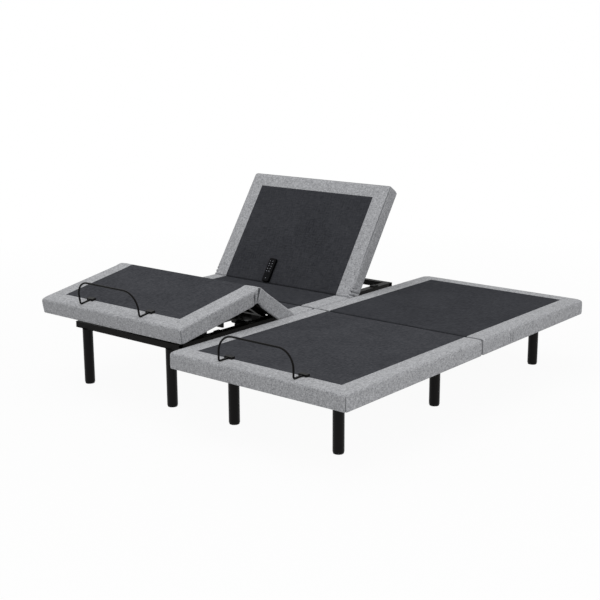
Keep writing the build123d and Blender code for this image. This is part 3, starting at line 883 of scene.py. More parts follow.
@dataclass
class Cover:
    """One stretch of a base's upholstery: a padded grey skin with the dark cloth let into its top.

    Attributes:
        stretch: which stretch it is.
        layout: sizes of the base.
        fold: the fold that it crosses.
        ends: Y where it starts and stops, with how it ends there.
        pads: CAD nodes that the skin stands for.
        edge_radius, corner_radius: rounding of the top edge and of the upright corners.
        bevel_steps: faces across either rounding.
        corner_drop, corner_reach: how far the top sags at a corner, and how far from it.
        hem_radius, hem_bends: rounding of the bottom edge, and the turns of its rings in degrees.
        hem_return: how far the bottom edge is turned under.
        skin, cloth_thickness: thickness of the padded skin and of the dark cloth.
        cloth_lift, bed_depth: how far the cloth lies above the deck, and the skin sinks below it.
        crown, bulge: how far the border swells on top and at its sides.
        seam_depth: depth of a fully drawn seam.
        seam_spread, corner_spread: half the seam's width along the top edge and up a corner, in degrees.
        corner_rise: share of the edge's rounding up to which a corner's seam runs.
        slack_seam, pulled_seam: share of its depth and of its painted shade that the top edge's seam has
            slack and drawn tight.
        slack_reach, pull_reach: how far from a raised head's fold it stays slack, and then tightens.
        side_depth: how far in from the outer face a point still belongs to the side.
        ridge, full_shade: highest ridge between creases, and the depth at which a crease's painted shade is
            darkest.
        pinch_margin: how far from the cloth the small creases on top start.
        pinch_wave_mm, pinch_slant_mm: how close they follow one another along and across the bed.
        pinch_reach_mm: how far along the bed they spread.
        parting_gap, parting_radius: half the gap at the split, and the rounding of its lips.
        lip_share: how far down that rounding the lips are drawn.
        lip_return, lip_depth: how far a lip's turned-in edge lies inside the outer face and below the top.
        lip_reach, tuck: how far it stands out into the gap, and how far the cloth is turned down there.
        top_lip_shade, side_lip_shade: how much shade is painted on the lips on top and at the sides, for
            each share of the rounding.
        gap_shade_fade: how early painted shade darkens the cloth towards the parting.
        wide_step, fold_step, wall_step: spacing of the rings away from folds, at one and near an end wall.
        fold_margin, crease_margin: how far past the fold and the outermost crease the close rings go on.
        wall_steps: first step from an end wall, and the one after the last.
        lip_rings: places of the rings in a lip's rounding, as shares of it.
        least_gap: closest that a ring may lie to an end.
        side_step, deck_step: spacing of the rings up the sides and of the lines under the cloth.
        deck_margin, deck_line: how far from the cloth's side those lines stop, and where the last lies.
        border_lines: lengthwise lines across the border's top.
    """

    stretch: Stretch
    layout: Layout
    fold: Fold
    ends: tuple[tuple[float, Rim], tuple[float, Rim]]
    pads: list[str]
    edge_radius: float = 10 * MM
    corner_radius: float = 16 * MM
    bevel_steps: int = 6
    corner_drop: float = 5 * MM
    corner_reach: float = 22 * MM
    hem_radius: float = 5 * MM
    hem_bends: tuple[int, ...] = (30, 60, 90)
    hem_return: float = 12 * MM
    skin: float = 3 * MM
    cloth_thickness: float = 1.2 * MM
    cloth_lift: float = 0.5 * MM
    bed_depth: float = 1.5 * MM
    crown: float = 1.2 * MM
    bulge: float = 1.0 * MM
    seam_depth: float = 1.2 * MM
    seam_spread: float = 44.0
    corner_spread: float = 11.0
    corner_rise: float = 0.3
    slack_seam: float = 0.2
    pulled_seam: float = 0.95
    slack_reach: float = 60 * MM
    pull_reach: float = 330 * MM
    side_depth: float = 4 * MM
    ridge: float = 1.0 * MM
    full_shade: float = 4.5 * MM
    pinch_margin: float = 8 * MM
    pinch_wave_mm: float = 3.6
    pinch_slant_mm: float = 9.0
    pinch_reach_mm: float = 24.0
    parting_gap: float = 3.6 * MM
    parting_radius: float = 11 * MM
    lip_share: float = 0.8
    lip_return: float = 20 * MM
    lip_depth: float = 11 * MM
    lip_reach: float = 3.3 * MM
    tuck: float = 5 * MM
    top_lip_shade: float = 3.0
    side_lip_shade: float = 1.3
    gap_shade_fade: float = 0.7
    wide_step: float = 26 * MM
    fold_step: float = 2.5 * MM
    fold_margin: float = 28 * MM
    crease_margin: float = 15 * MM
    wall_step: float = 12 * MM
    wall_steps: tuple[int, int] = (2, 9)
    lip_rings: tuple[float, ...] = (0.1, 0.25, 0.5, 0.75, 1.0)
    least_gap: float = 0.2 * MM
    side_step: float = 7 * MM
    deck_step: float = 43 * MM
    deck_margin: float = 10 * MM
    deck_line: float = 4 * MM
    border_lines: int = 5

    def __post_init__(self) -> None:
        """Work out where the skin and its cloth start and stop."""
        layout = self.layout
        (start, self.front), (stop, self.rear) = self.ends
        self.start = start + (self.parting_gap if self.front is Rim.PARTING else 0)
        self.stop = stop - (self.parting_gap if self.rear is Rim.PARTING else 0)
        self.cloth_start = max(self.start, layout.cloth_foot)
        self.cloth_stop = min(self.stop, layout.cloth_head)
        self.label = f"{layout.side.value}_{self.stretch.value}"
        self.turned = abs(self.fold.angle) > TINY
        self.pulled = self.stretch is Stretch.HEAD and self.turned

    def rims(self, *kinds: Rim) -> list[tuple[float, int]]:
        """Ends of the cover that are of some kinds.

        Args:
            kinds: how the wanted ends end.

        Returns:
            Y of each, and +1 or -1 for the way along Y that leads into the cover.
        """
        both = ((self.start, self.front, 1), (self.stop, self.rear, -1))
        return [(edge, inward) for edge, rim, inward in both if rim in kinds]

    def stations(self, start: float, stop: float) -> list[float]:
        """Y of each ring of mesh: close together at the fold and at a parting, wide apart elsewhere.

        Args:
            start: lowest Y.
            stop: highest Y.

        Returns:
            The places between the two.
        """
        centre, reach = self.fold.pivot[0], self.fold.span / 2 + self.fold_margin
        marks = [centre + mark.at_mm * MM for mark in CREASES[self.stretch]]
        near = min(centre - reach, *marks) - self.crease_margin
        far = max(centre + reach, *marks) + self.crease_margin
        places = list(np.arange(near, far + TINY, self.fold_step))
        places += list(np.arange(start + self.wide_step, near, self.wide_step))
        places += list(np.arange(far + self.wide_step, stop, self.wide_step))
        for edge, inward in self.rims(Rim.PARTING):
            places += [edge + inward * share * self.parting_radius for share in self.lip_rings]
        for edge, inward in self.rims(Rim.WALL):
            places += [edge + inward * step * self.wall_step for step in range(*self.wall_steps)]
        places += [self.cloth_start, self.cloth_stop]
        return sorted(place for place in places if start + self.least_gap < place < stop - self.least_gap)

    def columns(self) -> list[float]:
        """X of each lengthwise line of mesh.

        Returns:
            The places, the same on either side of the middle.
        """
        inner, outer = self.layout.cloth_half, self.layout.half - self.edge_radius
        lines = list(np.arange(0, inner - self.deck_margin, self.deck_step))
        lines += [inner - self.deck_line, inner]
        lines += list(np.linspace(inner, outer, self.border_lines + 2)[1:-1])
        return [sign * line for line in lines for sign in (-1, 1) if line or sign > 0]

    def cut(self, shape: BMesh, normal: tuple[float, float, float], places: list[float]) -> None:
        """Cut rings into a mesh across one axis.

        Args:
            shape: the mesh.
            normal: the axis.
            places: where along the axis.
        """
        for place in places:
            bmesh.ops.bisect_plane(
                shape,
                geom=[*shape.verts, *shape.edges, *shape.faces],
                dist=TINY,
                plane_co=Vector(normal) * place,
                plane_no=normal,
            )

    def box_skin(self) -> BMesh:
        """Rounded box without a bottom, open at a join or a parting.

        Returns:
            The mesh, with the hem turned under.
        """
        layout = self.layout
        shape = bmesh.new()
        bmesh.ops.create_cube(shape, size=1)
        size = (2 * layout.half, self.stop - self.start, layout.top - layout.bottom)
        bmesh.ops.scale(shape, vec=size, verts=shape.verts)
        centre = (0, (self.start + self.stop) / 2, (layout.top + layout.bottom) / 2)
        bmesh.ops.translate(shape, vec=centre, verts=shape.verts)
        shape.normal_update()
        missing = [face for face in shape.faces if face.normal.z < -FACING]
        for _, inward in self.rims(Rim.PARTING, Rim.JOIN):
            missing += [face for face in shape.faces if face.normal.y * inward < -FACING]
        bmesh.ops.delete(shape, geom=missing, context="FACES")
        inside = [edge for edge in shape.edges if not edge.is_boundary]
        upright = [edge for edge in inside if abs(edge.verts[0].co.z - edge.verts[1].co.z) > TINY]
        bevelled(shape, upright, self.corner_radius, self.bevel_steps)
        rim = [e for e in shape.edges if not e.is_boundary and lies_at(e, Z_AXIS, layout.top)]
        bevelled(shape, rim, self.edge_radius, self.bevel_steps)
        self.hem(shape, [e for e in shape.edges if e.is_boundary and lies_at(e, Z_AXIS, layout.bottom)])
        return shape

    def hem(self, shape: BMesh, rim: list[BMEdge]) -> None:
        """Turn the bottom edge under, round a soft bend.

        Args:
            shape: the box skin.
            rim: its bottom edges.
        """
        for vert in {vert for edge in rim for vert in edge.verts}:
            vert.co.z += self.hem_radius
        bends = [math.radians(angle) for angle in self.hem_bends]
        rings = [(self.hem_radius * (1 - math.cos(a)), self.hem_radius * (1 - math.sin(a))) for a in bends]
        for inset, height in [*rings, (self.hem_return, 0.0)]:
            points, rim = draw_out(shape, rim)
            for vert in points:
                vert.co = self.turned_under(vert.co, inset, height)

    def turned_under(self, point: Vector, inset: float, height: float) -> Vector:
        """Where a point of the bottom edge comes to lie once it is turned under.

        Args:
            point: a point of the bottom edge.
            inset: how far it lies from the outer face.
            height: how far it lies above the bottom.

        Returns:
            The point moved inwards, round the corners' own centres.
        """
        side = self.layout.half - self.corner_radius
        low = self.start + (self.corner_radius if self.front is Rim.WALL else 0)
        high = self.stop - (self.corner_radius if self.rear is Rim.WALL else 0)
        core = Vector((min(max(point.x, -side), side), min(max(point.y, low), high), point.z))
        moved = core + (point - core).normalized() * (self.corner_radius - inset)
        moved.z = self.layout.bottom + height
        return moved

    def puff(self, shape: BMesh) -> None:
        """Crown the padded border, swell its sides and sink the bed that the cloth lies in.

        Args:
            shape: the flat skin.
        """
        layout = self.layout
        wide = layout.half - layout.cloth_half
        shape.normal_update()
        moves = []
        for vert in shape.verts:
            x, y, z = vert.co
            share = (z - layout.bottom) / (layout.top - layout.bottom)
            move = Vector()
            if z > layout.top - TINY:
                across = (abs(x) - layout.cloth_half) / wide
                ahead = (layout.cloth_foot - y) / (layout.cloth_foot - layout.foot)
                behind = (y - layout.cloth_head) / (layout.head - layout.cloth_head)
                out = max(across, ahead, behind)
                rise = self.crown * math.sin(math.pi * min(out, 1)) if out > 0 else 0
                move.z = rise - (self.bed_depth if out < -SHARE_TINY else 0)
            elif z > layout.bottom + TINY:
                flat = Vector((vert.normal.x, vert.normal.y, 0))
                move = flat * self.bulge * math.sin(math.pi * share)
            if not self.pulled:
                move.z -= self.corner_drop * self.corner_share(vert.co) * share**2
            moves.append(move)
        push(shape, moves)

    def corner_share(self, point: Vector) -> float:
        """How near a point lies to one of the cover's outer corners.

        Args:
            point: a point of the flat skin.

        Returns:
            1 at a corner, falling to 0 away from it.
        """
        across = abs(point.x) - self.layout.half
        away = [math.hypot(across, point.y - edge) for edge, _ in self.rims(Rim.WALL)]
        return math.exp(-((min(away) / self.corner_reach) ** 2)) if away else 0.0

    def seam_share(self, point: Vector) -> float:
        """How far a point lies in the seam up a corner or along the top edge, from 0 to 1.

        Args:
            point: a point of the flat skin, before it is shaped.

        Returns:
            1 on a corner seam, less on the top edge's seam and 0 away from both.
        """
        layout = self.layout
        across = abs(point.x) - layout.half
        along = [(edge - point.y) * inward for edge, inward in self.rims(Rim.WALL)]
        corner = self.corner_radius
        share = 0.0
        level = point.z - (layout.top - self.edge_radius)
        for end in along:
            if min(across, end) > -corner and level <= self.corner_rise * self.edge_radius:
                turn = math.atan2(across + corner, end + corner)
                share = max(share, 1 - abs(turn - math.pi / 4) / math.radians(self.corner_spread))
        out = max([across, *along]) + self.edge_radius
        if level > TINY and out > TINY:
            near = 1 - abs(math.atan2(out, level) - math.pi / 4) / math.radians(self.seam_spread)
            share = max(share, near * self.seam_pull(point.y))
        return max(share, 0.0)

    def seam_pull(self, y: float) -> float:
        """How hard the top edge's seam is drawn in: most at the end of a raised head, slack elsewhere.

        Args:
            y: place along the flat skin.

        Returns:
            Share of the seam's full depth.
        """
        if not self.pulled:
            return self.slack_seam
        away = (y - self.fold.pivot[0] - self.slack_reach) / self.pull_reach
        return self.slack_seam + (self.pulled_seam - self.slack_seam) * float(smoothstep(np.array(away)))

    def creased(self, point: Vector) -> float:
        """How deep a point of the side cloth lies in the creases beside the fold.

        Args:
            point: a point of the flat skin.

        Returns:
            Depth in metres, below 0 on the soft ridges between creases.
        """
        layout = self.layout
        if abs(point.x) < layout.half - self.side_depth:
            return 0.0
        share = (point.z - layout.bottom) / (layout.top - layout.bottom)
        off = (point.y - self.fold.pivot[0]) / MM
        marks = [mark for mark in CREASES[self.stretch] if self.turned or not mark.only_turned]
        return sum(mark.depth(off, share) for mark in marks) * MM

    def pinch(self, point: Vector) -> float:
        """How deep a point of the border's top lies in the small creases beside the fold.

        Args:
            point: a point of the flat skin.

        Returns:
            Depth in metres, below 0 between creases.
        """
        layout = self.layout
        inner = layout.cloth_half
        if point.z < layout.top - self.edge_radius or abs(point.x) < inner + self.pinch_margin:
            return 0.0
        pinch = PINCHES[self.stretch] if self.turned else FLAT_PINCH
        off = (point.y - self.fold.pivot[0]) / MM
        outer = (abs(point.x) - inner) / (layout.half - inner)
        wave = math.sin(off / self.pinch_wave_mm + abs(point.x) / MM / self.pinch_slant_mm)
        fade = math.exp(-(((off - pinch.centre_mm) / self.pinch_reach_mm) ** 2))
        return pinch.depth_mm * wave * outer**2 * fade * MM

    def sunk(self, point: Vector) -> float:
        """Depth of all folds at a point, with ridges low enough to clear the base beside it, in metres."""
        return max(self.creased(point) + self.pinch(point), -self.ridge)

    def lip_drop(self, y: float) -> float:
        """How far the top is drawn down near a parting.

        Args:
            y: place along the flat skin.

        Returns:
            The drop in metres.
        """
        radius = self.parting_radius
        drop = 0.0
        for edge, _ in self.rims(Rim.PARTING):
            near = radius - abs(y - edge)
            if near > 0:
                drop = self.lip_share * (radius - math.sqrt(max(radius**2 - near**2, 0)))
        return drop

    def round_parting(self, shape: BMesh) -> None:
        """Draw the skin in where it meets the next cover, so that the parting has soft lips.

        Args:
            shape: the flat skin.
        """
        shape.normal_update()
        moves = []
        for vert in shape.verts:
            out = Vector((vert.normal.x, 0, vert.normal.z))
            drop = self.lip_drop(vert.co.y) if out.length > LEAST_LEAN else 0.0
            moves.append(out.normalized() * -drop)
        push(shape, moves)

    def turn_lips(self, shape: BMesh) -> None:
        """Turn the skin's edge inwards at a parting, up to the edge that faces it.

        Args:
            shape: the flat skin.
        """
        layout = self.layout
        hem_top, inner = layout.bottom + self.hem_radius, layout.half - self.lip_return
        for edge, inward in self.rims(Rim.PARTING):
            rim = [e for e in shape.edges if e.is_boundary and lies_at(e, Y_AXIS, edge)]
            points, _ = draw_out(shape, [e for e in rim if any(v.co.z > hem_top for v in e.verts)])
            for vert in points:
                vert.co.x = min(max(vert.co.x, -inner), inner)
                vert.co.y = edge - inward * self.lip_reach
                vert.co.z = min(vert.co.z, layout.top - self.lip_depth)

    def thicken(self, shape: BMesh, thickness: float) -> None:
        """Back a sheet with a second skin, inwards along each point's own normal.

        Args:
            shape: the sheet, its faces turned outwards.
            thickness: how far apart the two skins lie.
        """
        sheet = [*shape.edges, *shape.faces]
        made = bmesh.ops.extrude_face_region(shape, geom=sheet, use_keep_orig=True)["geom"]
        shape.normal_update()
        inner = [part for part in made if isinstance(part, BMVert)]
        for vert, outwards in [(vert, vert.normal.copy()) for vert in inner]:
            vert.co -= outwards * thickness
        bmesh.ops.recalc_face_normals(shape, faces=shape.faces)

    def finished(self, shape: BMesh, name: str, finish: Material, thickness: float) -> Object:
        """Give a flat sheet its thickness, bend it to rest and keep its flat places for the weave.

        Args:
            shape: the flat sheet, around the base's own middle.
            name: the piece's name.
            finish: its material.
            thickness: how thick it gets, inwards.

        Returns:
            The piece, bent to rest across the fold.
        """
        layout = self.layout
        bmesh.ops.remove_doubles(shape, verts=shape.verts, dist=TINY)
        bmesh.ops.recalc_face_normals(shape, faces=shape.faces)
        up = sum(face.normal.z * face.calc_area() for face in shape.faces)
        if up < 0:
            bmesh.ops.reverse_faces(shape, faces=shape.faces)
        self.thicken(shape, thickness)
        piece = mesh_object(name, shape, finish)
        data = piece.data
        flat = np.array([vert.co for vert in data.vertices], float)
        flat[:, 0] += layout.middle
        kept = data.attributes.new("flat", "FLOAT_VECTOR", "POINT")
        kept.data.foreach_set("vector", flat.ravel().astype(np.float32))
        bent = self.fold.bend(flat, layout.top)
        data.vertices.foreach_set("co", bent.ravel().astype(np.float32))
        data.update()
        start, end = self.fold.ends(layout.top)
        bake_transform(piece)
        return piece

    def border(self, finish: Material) -> Object:
        """Make the padded grey skin.

        Args:
            finish: the upholstery.

        Returns:
            The piece.
        """
        layout = self.layout
        shape = self.box_skin()
        self.cut(shape, (0, 1, 0), self.stations(self.start, self.stop))
        self.cut(shape, (1, 0, 0), self.columns())
        hem_top, edge_low = layout.bottom + self.hem_radius, layout.top - self.edge_radius
        self.cut(shape, (0, 0, 1), list(np.arange(hem_top, edge_low, self.side_step)[1:]))
        bmesh.ops.remove_doubles(shape, verts=shape.verts, dist=TINY)
        # The seam layer paints shade into the colour: painted shade in the creases and small creases beside
        # a fold, on the parting's lips and along the top edge's drawn-in seam, and the corner seams as dark
        # lines.
        seam = shape.verts.layers.float.new("seam")
        sewn = {vert: self.seam_share(vert.co) for vert in shape.verts}
        for vert in shape.verts:
            gap = self.top_lip_shade if vert.co.z > layout.top - self.edge_radius / 2 else self.side_lip_shade
            lip_shade = self.lip_drop(vert.co.y) / self.parting_radius * gap
            vert[seam] = max(sewn[vert], self.sunk(vert.co) / self.full_shade, lip_shade)
        self.puff(shape)
        shape.normal_update()
        depths = [self.sunk(vert.co) + self.seam_depth * sewn[vert] for vert in shape.verts]
        push(shape, [vert.normal * -depth for vert, depth in zip(shape.verts, depths)])
        self.round_parting(shape)
        self.turn_lips(shape)
        piece = self.finished(shape, f"{self.label}_cover", finish, self.skin)
        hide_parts(*self.pads)
        return piece

    def cloth(self, finish: Material) -> Object:
        """Make the dark cloth, turned down into the parting.

        Args:
            finish: the deck cloth.

        Returns:
            The piece.
        """
        layout = self.layout
        start, stop = self.cloth_start, self.cloth_stop
        shape = bmesh.new()
        bmesh.ops.create_grid(shape, x_segments=1, y_segments=1, size=0.5)
        bmesh.ops.scale(shape, vec=(2 * layout.cloth_half, stop - start, 1), verts=shape.verts)
        middle = (0, (start + stop) / 2, layout.top + self.cloth_lift)
        bmesh.ops.translate(shape, vec=middle, verts=shape.verts)
        places = self.stations(start, stop)
        self.cut(shape, (0, 1, 0), places)
        self.cut(shape, (1, 0, 0), [x for x in self.columns() if abs(x) < layout.cloth_half - TINY])
        # The seam layer here holds painted shade: the cloth darkens as it turns down into the parting.
        gap = shape.verts.layers.float.new("seam")
        for vert in shape.verts:
            drop = self.lip_drop(vert.co.y)
            vert[gap] = (drop / self.parting_radius) ** self.gap_shade_fade
            vert.co.z -= drop
        for edge, inward in self.rims(Rim.PARTING):
            points, _ = draw_out(shape, [e for e in shape.edges if lies_at(e, Y_AXIS, edge)])
            for vert in points:
                vert.co += Vector((0, -inward * self.lip_reach, -self.tuck))
        piece = self.finished(shape, f"{self.label}_deckcloth", finish, self.cloth_thickness)
        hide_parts(*(pad.replace("pad", "cloth") for pad in self.pads))
        return piece


def covers_of(layout: Layout) -> list[Cover]:
    """The three stretches of upholstery of one base.

    Args:
        layout: sizes of the base.

    Returns:
        The covers from head to foot.
    """
    folds = layout.folds()
    head, thigh, foot = (layout.body(name) for name in ("head", "thigh", "foot"))
    split, middle = layout.split, layout.mid_thigh
    plans = (
        (Stretch.HEAD, ((split, Rim.PARTING), (layout.head, Rim.WALL)), ["seat_pads", f"{head}_pad"]),
        (Stretch.SEAT, ((middle, Rim.JOIN), (split, Rim.PARTING)), ["seat_pads", f"{thigh}_pad"]),
        (Stretch.FOOT, ((layout.foot, Rim.WALL), (middle, Rim.JOIN)), [f"{thigh}_pad", f"{foot}_pad"]),
    )
    return [Cover(stretch, layout, folds[stretch], ends, pads) for stretch, ends, pads in plans]


@dataclass
class RemoteMarks:
    """Printed marks on the remote's keys, and its lamp.

    Attributes:
        layout: sizes of the base that it lies on.
        arrow_rows: rows of keys with arrows on them.
        arm_lean: lean of an arrow's arms, in degrees.
        arm_at, arm_length: place and length of an arm, as shares of the mark's size like those below.
        base_at, base_length: place and length of the line under an arrow.
        dot_at, dot_height: place of the dot over an arrow, and its height in strokes.
        line_at, line_length, short_length: place of the level lines, their length and the shorter one's.
        ring_radius, ring_sides: radius of a ring, and the bars that make it.
        lamp_radius, lamp_taper, lamp_height: the lamp's radius, the share of it on top, and its height.
        lamp_lift, lamp_from_end: how far its middle lies above the case and from the remote's end.
        lamp_sides: faces round it.
    """

    layout: Layout
    frame: dict
    size: float = 5.0 * MM
    stroke: float = 1.2 * MM
    print_thickness: float = 0.15 * MM
    arrow_rows: int = 3
    arm_lean: float = 45.0
    arm_at: float = 0.3
    arm_length: float = 0.95
    base_at: float = 0.55
    base_length: float = 1.1
    dot_at: float = 0.62
    dot_height: float = 1.2
    line_at: float = 0.3
    line_length: float = 1.2
    short_length: float = 0.6
    ring_radius: float = 0.5
    ring_sides: int = 12
    lamp_radius: float = 2.2 * MM
    lamp_taper: float = 0.8
    lamp_height: float = 0.8 * MM
    lamp_lift: float = 0.3 * MM
    lamp_sides: int = 20
    lamp_from_end: float = 20 * MM

    def basis(self) -> Matrix:
        """Axes of the remote: across, along and out of its face."""
        return self.layout.head_place().to_3x3()

    def extent(self, node: str) -> tuple[Vector, Vector]:
        """Lowest and highest corner of a node along the remote's own axes.

        Args:
            node: a CAD node.

        Returns:
            The two corners, in those axes.
        """
        back = self.basis().transposed()
        points = np.array([back @ vert.co for vert in self.frame["nodes"][node].data.vertices])
        return Vector(points.min(0)), Vector(points.max(0))

    def bar(
        self, shape: BMesh, at: tuple[float, float], size: tuple[float, float], turn: float = 0
    ) -> None:
        """Add one flat bar of print.

        Args:
            shape: the mark that gets it.
            at: its middle.
            size: its length and width.
            turn: its turn in radians.
        """
        made = bmesh.ops.create_cube(shape, size=1)["verts"]
        bmesh.ops.scale(shape, vec=(size[0], size[1], self.print_thickness), verts=made)
        bmesh.ops.rotate(shape, cent=(0, 0, 0), matrix=Matrix.Rotation(turn, 3, "Z"), verts=made)
        bmesh.ops.translate(shape, vec=(*at, 0), verts=made)

    def mark(self, number: int) -> BMesh:
        """Mark of one key: an arrow up or down, a level line or a ring.

        Args:
            number: the key, from 1.

        Returns:
            The flat mark around the origin.
        """
        shape = bmesh.new()
        row, column = divmod(number - 1, 2)
        size, stroke = self.size, self.stroke
        if row < self.arrow_rows:
            up = 1 if column == 0 else -1
            lean = up * math.radians(self.arm_lean)
            arm = (size * self.arm_length, stroke)
            for sign in (-1, 1):
                self.bar(shape, (sign * size * self.arm_at, 0), arm, -sign * lean)
            if row == 1:
                self.bar(shape, (0, -up * size * self.base_at), (size * self.base_length, stroke))
            if row == 2:
                self.bar(shape, (0, up * size * self.dot_at), (stroke, stroke * self.dot_height))
        elif row == self.arrow_rows:
            lower = self.line_length if column else self.short_length
            self.bar(shape, (0, size * self.line_at), (size * self.line_length, stroke))
            self.bar(shape, (0, -size * self.line_at), (size * lower, stroke))
        else:
            radius = size * self.ring_radius
            for step in range(self.ring_sides):
                angle = 2 * math.pi * step / self.ring_sides
                spot = (radius * math.cos(angle), radius * math.sin(angle))
                self.bar(shape, spot, (stroke, stroke), angle)
            if column:
                self.bar(shape, (0, 0), (stroke, stroke))
        return shape

    def placed(self, shape: BMesh, spot: Vector, name: str, finish: Material) -> Object:
        """Put a flat mark on the remote.

        Args:
            shape: the mark around the origin.
            spot: its place along the remote's own axes.
            name: the piece's name.
            finish: its material.

        Returns:
            The piece.
        """
        basis = self.basis()
        matrix = Matrix.Translation(basis @ spot) @ basis.to_4x4()
        bmesh.ops.transform(shape, matrix=matrix, verts=shape.verts)
        bmesh.ops.recalc_face_normals(shape, faces=shape.faces)
        return mesh_object(name, shape, finish)

    def build(self, finish: Material) -> None:
        """Make the marks and the lamp, each on its own body.

        Args:
            finish: the print.
        """
        for number in range(1, KEYS + 1):
            low, high = self.extent(f"remote_key_{number}")
            spot = Vector(((low.x + high.x) / 2, (low.y + high.y) / 2, high.z + self.print_thickness / 3))
            piece = self.placed(self.mark(number), spot, f"key_mark_{number}", finish)
            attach(piece, f"key_{number}")
            LOG.info("made %s", piece.name)
        low, high = self.extent("remote_front_case")
        shape = bmesh.new()
        bmesh.ops.create_cone(
            shape,
            cap_ends=True,
            segments=self.lamp_sides,
            radius1=self.lamp_radius,
            radius2=self.lamp_radius * self.lamp_taper,
            depth=self.lamp_height,
        )
        spot = Vector(((low.x + high.x) / 2, low.y + self.lamp_from_end, high.z + self.lamp_lift))
        lamp = self.placed(shape, spot, "remote_lamp", finish)
        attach(lamp, "remote")
        LOG.info("made %s", lamp.name)


NODE_FINISH: dict[str, str] = {
    "legs": "leg",
    "leg_feet": "moulding",
    "cross_beams": "frame",
    "side_rails": "frame",
    "hinge_pins": "plated",
    "deck_bumpers": "rubber",
    "drive_tubes": "frame",
    "drive_motors": "motor",
    "control_boxes": "motor",
    "seat_decks": "board",
    "remote_front_case": "case",
    "remote_back_case": "case",
}
TAIL_FINISH: dict[str, str] = {
    "deck": "board",
    "subframe": "frame",
    "knee_pins": "plated",
    "foot_arm": "frame",
    "push_rod": "plated",
    "retainer_bar": "rod",
    "retainer_clips": "moulding",
}


def finish_of(node: str) -> str | None:
    """Name of the finish of a CAD node.

    Args:
        node: the node.

    Returns:
        A key of FINISHES, or None for a node that a cover stands for.
    """
    if node in NODE_FINISH:
        return NODE_FINISH[node]
    if node.startswith("remote_key"):
        return "key"
    return next((finish for tail, finish in TAIL_FINISH.items() if node.endswith(tail)), None)


@dataclass(frozen=True)
class Lamp:
    """A soft light that points at the bed.

    Attributes:
        name: the light's name.
        place: where it hangs, in metres.
        size: its width and height in metres.
        watts: its power.
    """

    name: str
    place: tuple[float, float, float]
    size: tuple[float, float]
    watts: float


LAMPS = (
    Lamp("overhead_soft", place=(-0.6, -0.6, 4.6), size=(4.5, 4.5), watts=105.0),
    Lamp("front_soft", place=(0.6, -5.2, 2.6), size=(3.0, 2.2), watts=31.0),
    Lamp("right_soft", place=(5.2, -0.6, 2.4), size=(2.4, 2.0), watts=67.0),
)


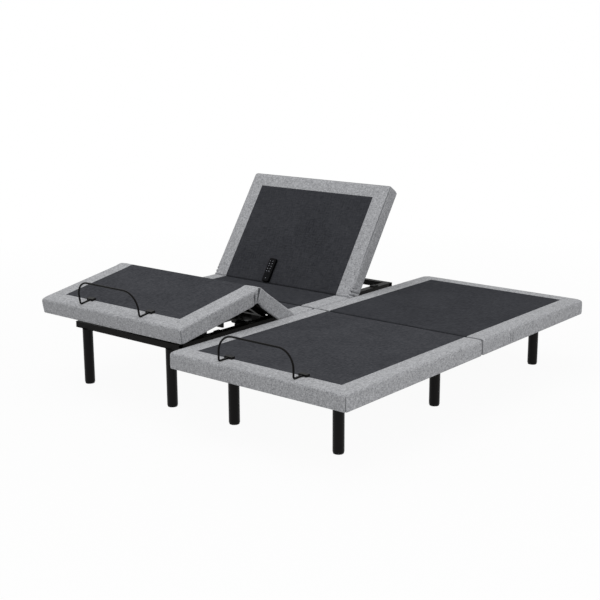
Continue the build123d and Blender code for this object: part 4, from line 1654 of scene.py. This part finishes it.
@dataclass
class Studio:
    """Plain pale floor, soft light and the camera.

    Attributes:
        station: where the camera stands, in metres.
        azimuth: its turn from looking along +Y, in degrees.
        elevation: how far it looks down, in degrees.
        roll: its tilt about its own view, in degrees.
        lens: focal length in mm.
        sensor: width of the sensor in mm.
        sight: how far the camera sees, in metres.
        aim: point that the lamps look at.
        world_level: strength of the world as a light, beside 1 as a background.
        floor_size: length of the floor's side in metres.
        floor_tone: its colour under the lamps.
        floor_roughness: how dull it is.
        floor_white: share of plain white that the floor shows under the bed.
        shadow_reach: how far from the middle the floor is wholly white.
    """

    station: tuple[float, float, float] = (3.4722, -4.3296, 1.6963)
    azimuth: float = 39.43
    elevation: float = 13.29
    roll: float = -0.26
    lens: float = 68.52
    sensor: float = 36.0
    sight: float = 1000.0
    aim: tuple[float, float, float] = (0.0, 0.0, 0.3)
    world_level: float = 0.5
    floor_size: float = 300.0
    floor_tone: str = "#D6D6D6"
    floor_roughness: float = 0.9
    floor_white: float = 0.95
    shadow_reach: float = 4.5

    def camera(self) -> None:
        """Place the camera at the photograph's view."""
        az, el, roll = (math.radians(a) for a in (self.azimuth, self.elevation, self.roll))
        back = Vector((math.sin(az) * math.cos(el), -math.cos(az) * math.cos(el), math.sin(el)))
        right = Vector((math.cos(az), math.sin(az), 0))
        up = back.cross(right)
        level = right * math.cos(roll) + up * math.sin(roll)
        turned = Matrix((level, back.cross(level), back)).transposed().to_4x4()
        lens = bpy.data.cameras.new("view")
        lens.lens, lens.sensor_width = self.lens, self.sensor
        lens.clip_end = self.sight
        eye = bpy.data.objects.new("view", lens)
        eye.matrix_world = Matrix.Translation(self.station) @ turned
        bpy.context.scene.collection.objects.link(eye)
        bpy.context.scene.camera = eye

    def seen(self, tree: NodeTree) -> NodeSocket:
        """Tell the rays that show the background: from the camera, in a reflection or through glass.

        Args:
            tree: node tree to add to.

        Returns:
            A socket that is 1 for those rays and 0 for others.
        """
        path = add_node(tree, "ShaderNodeLightPath")
        share = path.outputs["Is Camera Ray"]
        for kind in ("Is Glossy Ray", "Is Transmission Ray"):
            either = add_node(
                tree, "ShaderNodeMath", {"operation": "MAXIMUM"}, i0=share, i1=path.outputs[kind]
            )
            share = either.outputs[0]
        return share

    def floor(self) -> None:
        """Lay a pale floor that is white to the camera and keeps the shadow."""
        shape = bmesh.new()
        bmesh.ops.create_grid(shape, x_segments=1, y_segments=1, size=self.floor_size / 2)
        made = bpy.data.materials.new("pale_floor")
        made.use_nodes = True
        tree = made.node_tree
        shader = tree.nodes["Principled BSDF"]
        shader.inputs["Base Color"].default_value = linear(self.floor_tone)
        shader.inputs["Roughness"].default_value = self.floor_roughness
        shader.inputs["Specular IOR Level"].default_value = 0.0
        glow = add_node(tree, "ShaderNodeEmission", {"Color": (1.0, 1.0, 1.0, 1.0), "Strength": 1.0})
        place = add_node(tree, "ShaderNodeTexCoord").outputs["Object"]
        away = add_node(tree, "ShaderNodeVectorMath", {"operation": "LENGTH"}, i0=place)
        white = add_node(
            tree,
            "ShaderNodeMapRange",
            {
                "From Min": self.shadow_reach / 3,
                "From Max": self.shadow_reach,
                "To Min": self.floor_white,
                "To Max": 1.0,
            },
            Value=away.outputs["Value"],
        )
        share = add_node(
            tree, "ShaderNodeMath", {"operation": "MULTIPLY"}, i0=white.outputs[0], i1=self.seen(tree)
        )
        mix = add_node(
            tree,
            "ShaderNodeMixShader",
            None,
            i0=share.outputs[0],
            i1=shader.outputs[0],
            i2=glow.outputs[0],
        )
        tree.links.new(mix.outputs[0], tree.nodes["Material Output"].inputs["Surface"])
        mesh_object("floor", shape, made)

    def hang(self, lamp: Lamp) -> None:
        """Hang a lamp so that it points at the bed.

        Args:
            lamp: what it is like and where it hangs.
        """
        light = bpy.data.lights.new(lamp.name, "AREA")
        light.shape = "RECTANGLE"
        light.size, light.size_y = lamp.size
        light.energy = lamp.watts
        hung = bpy.data.objects.new(lamp.name, light)
        facing = (Vector(self.aim) - Vector(lamp.place)).to_track_quat("-Z", "Y")
        hung.matrix_world = Matrix.Translation(lamp.place) @ facing.to_matrix().to_4x4()
        bpy.context.scene.collection.objects.link(hung)

    def light(self) -> None:
        """Light the bed evenly from above, with softer light from either side."""
        world = bpy.data.worlds.new("studio")
        world.use_nodes = True
        tree = world.node_tree
        ground = tree.nodes["Background"]
        ground.inputs["Color"].default_value = (1.0, 1.0, 1.0, 1.0)
        level = add_node(
            tree, "ShaderNodeMapRange", {"To Min": self.world_level, "To Max": 1.0}, Value=self.seen(tree)
        )
        tree.links.new(level.outputs[0], ground.inputs["Strength"])
        bpy.context.scene.world = world
        for lamp in LAMPS:
            self.hang(lamp)

    def build(self) -> None:
        """Set the stage."""
        bpy.context.scene.view_settings.view_transform = "Standard"
        self.camera()
        self.floor()
        self.light()


def main() -> None:
    """Dress the frame, piece by piece."""
    logging.basicConfig(level=logging.INFO, format="%(message)s")
    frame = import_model()
    finishes = {name: finish.material() for name, finish in FINISHES.items()}
    Studio().build()
    for node, piece in frame["nodes"].items():
        finish = finish_of(node)
        if finish is not None:
            piece.data.materials.clear()
            piece.data.materials.append(finishes[finish])
            LOG.info("dressed %s", node)
    layouts = {side: Layout(side, frame) for side in Side}
    for layout in layouts.values():
        for cover in covers_of(layout):
            # head stretches take the darker weave: painted shade at the head end
            weave = "deck_head" if cover.stretch is Stretch.HEAD else "deck"
            for piece in (cover.border(finishes["border"]), cover.cloth(finishes[weave])):
                LOG.info("made %s", piece.name)
    RemoteMarks(layouts[Side.LEFT], frame).build(finishes["print"])


if __name__ == "__main__":
    main()
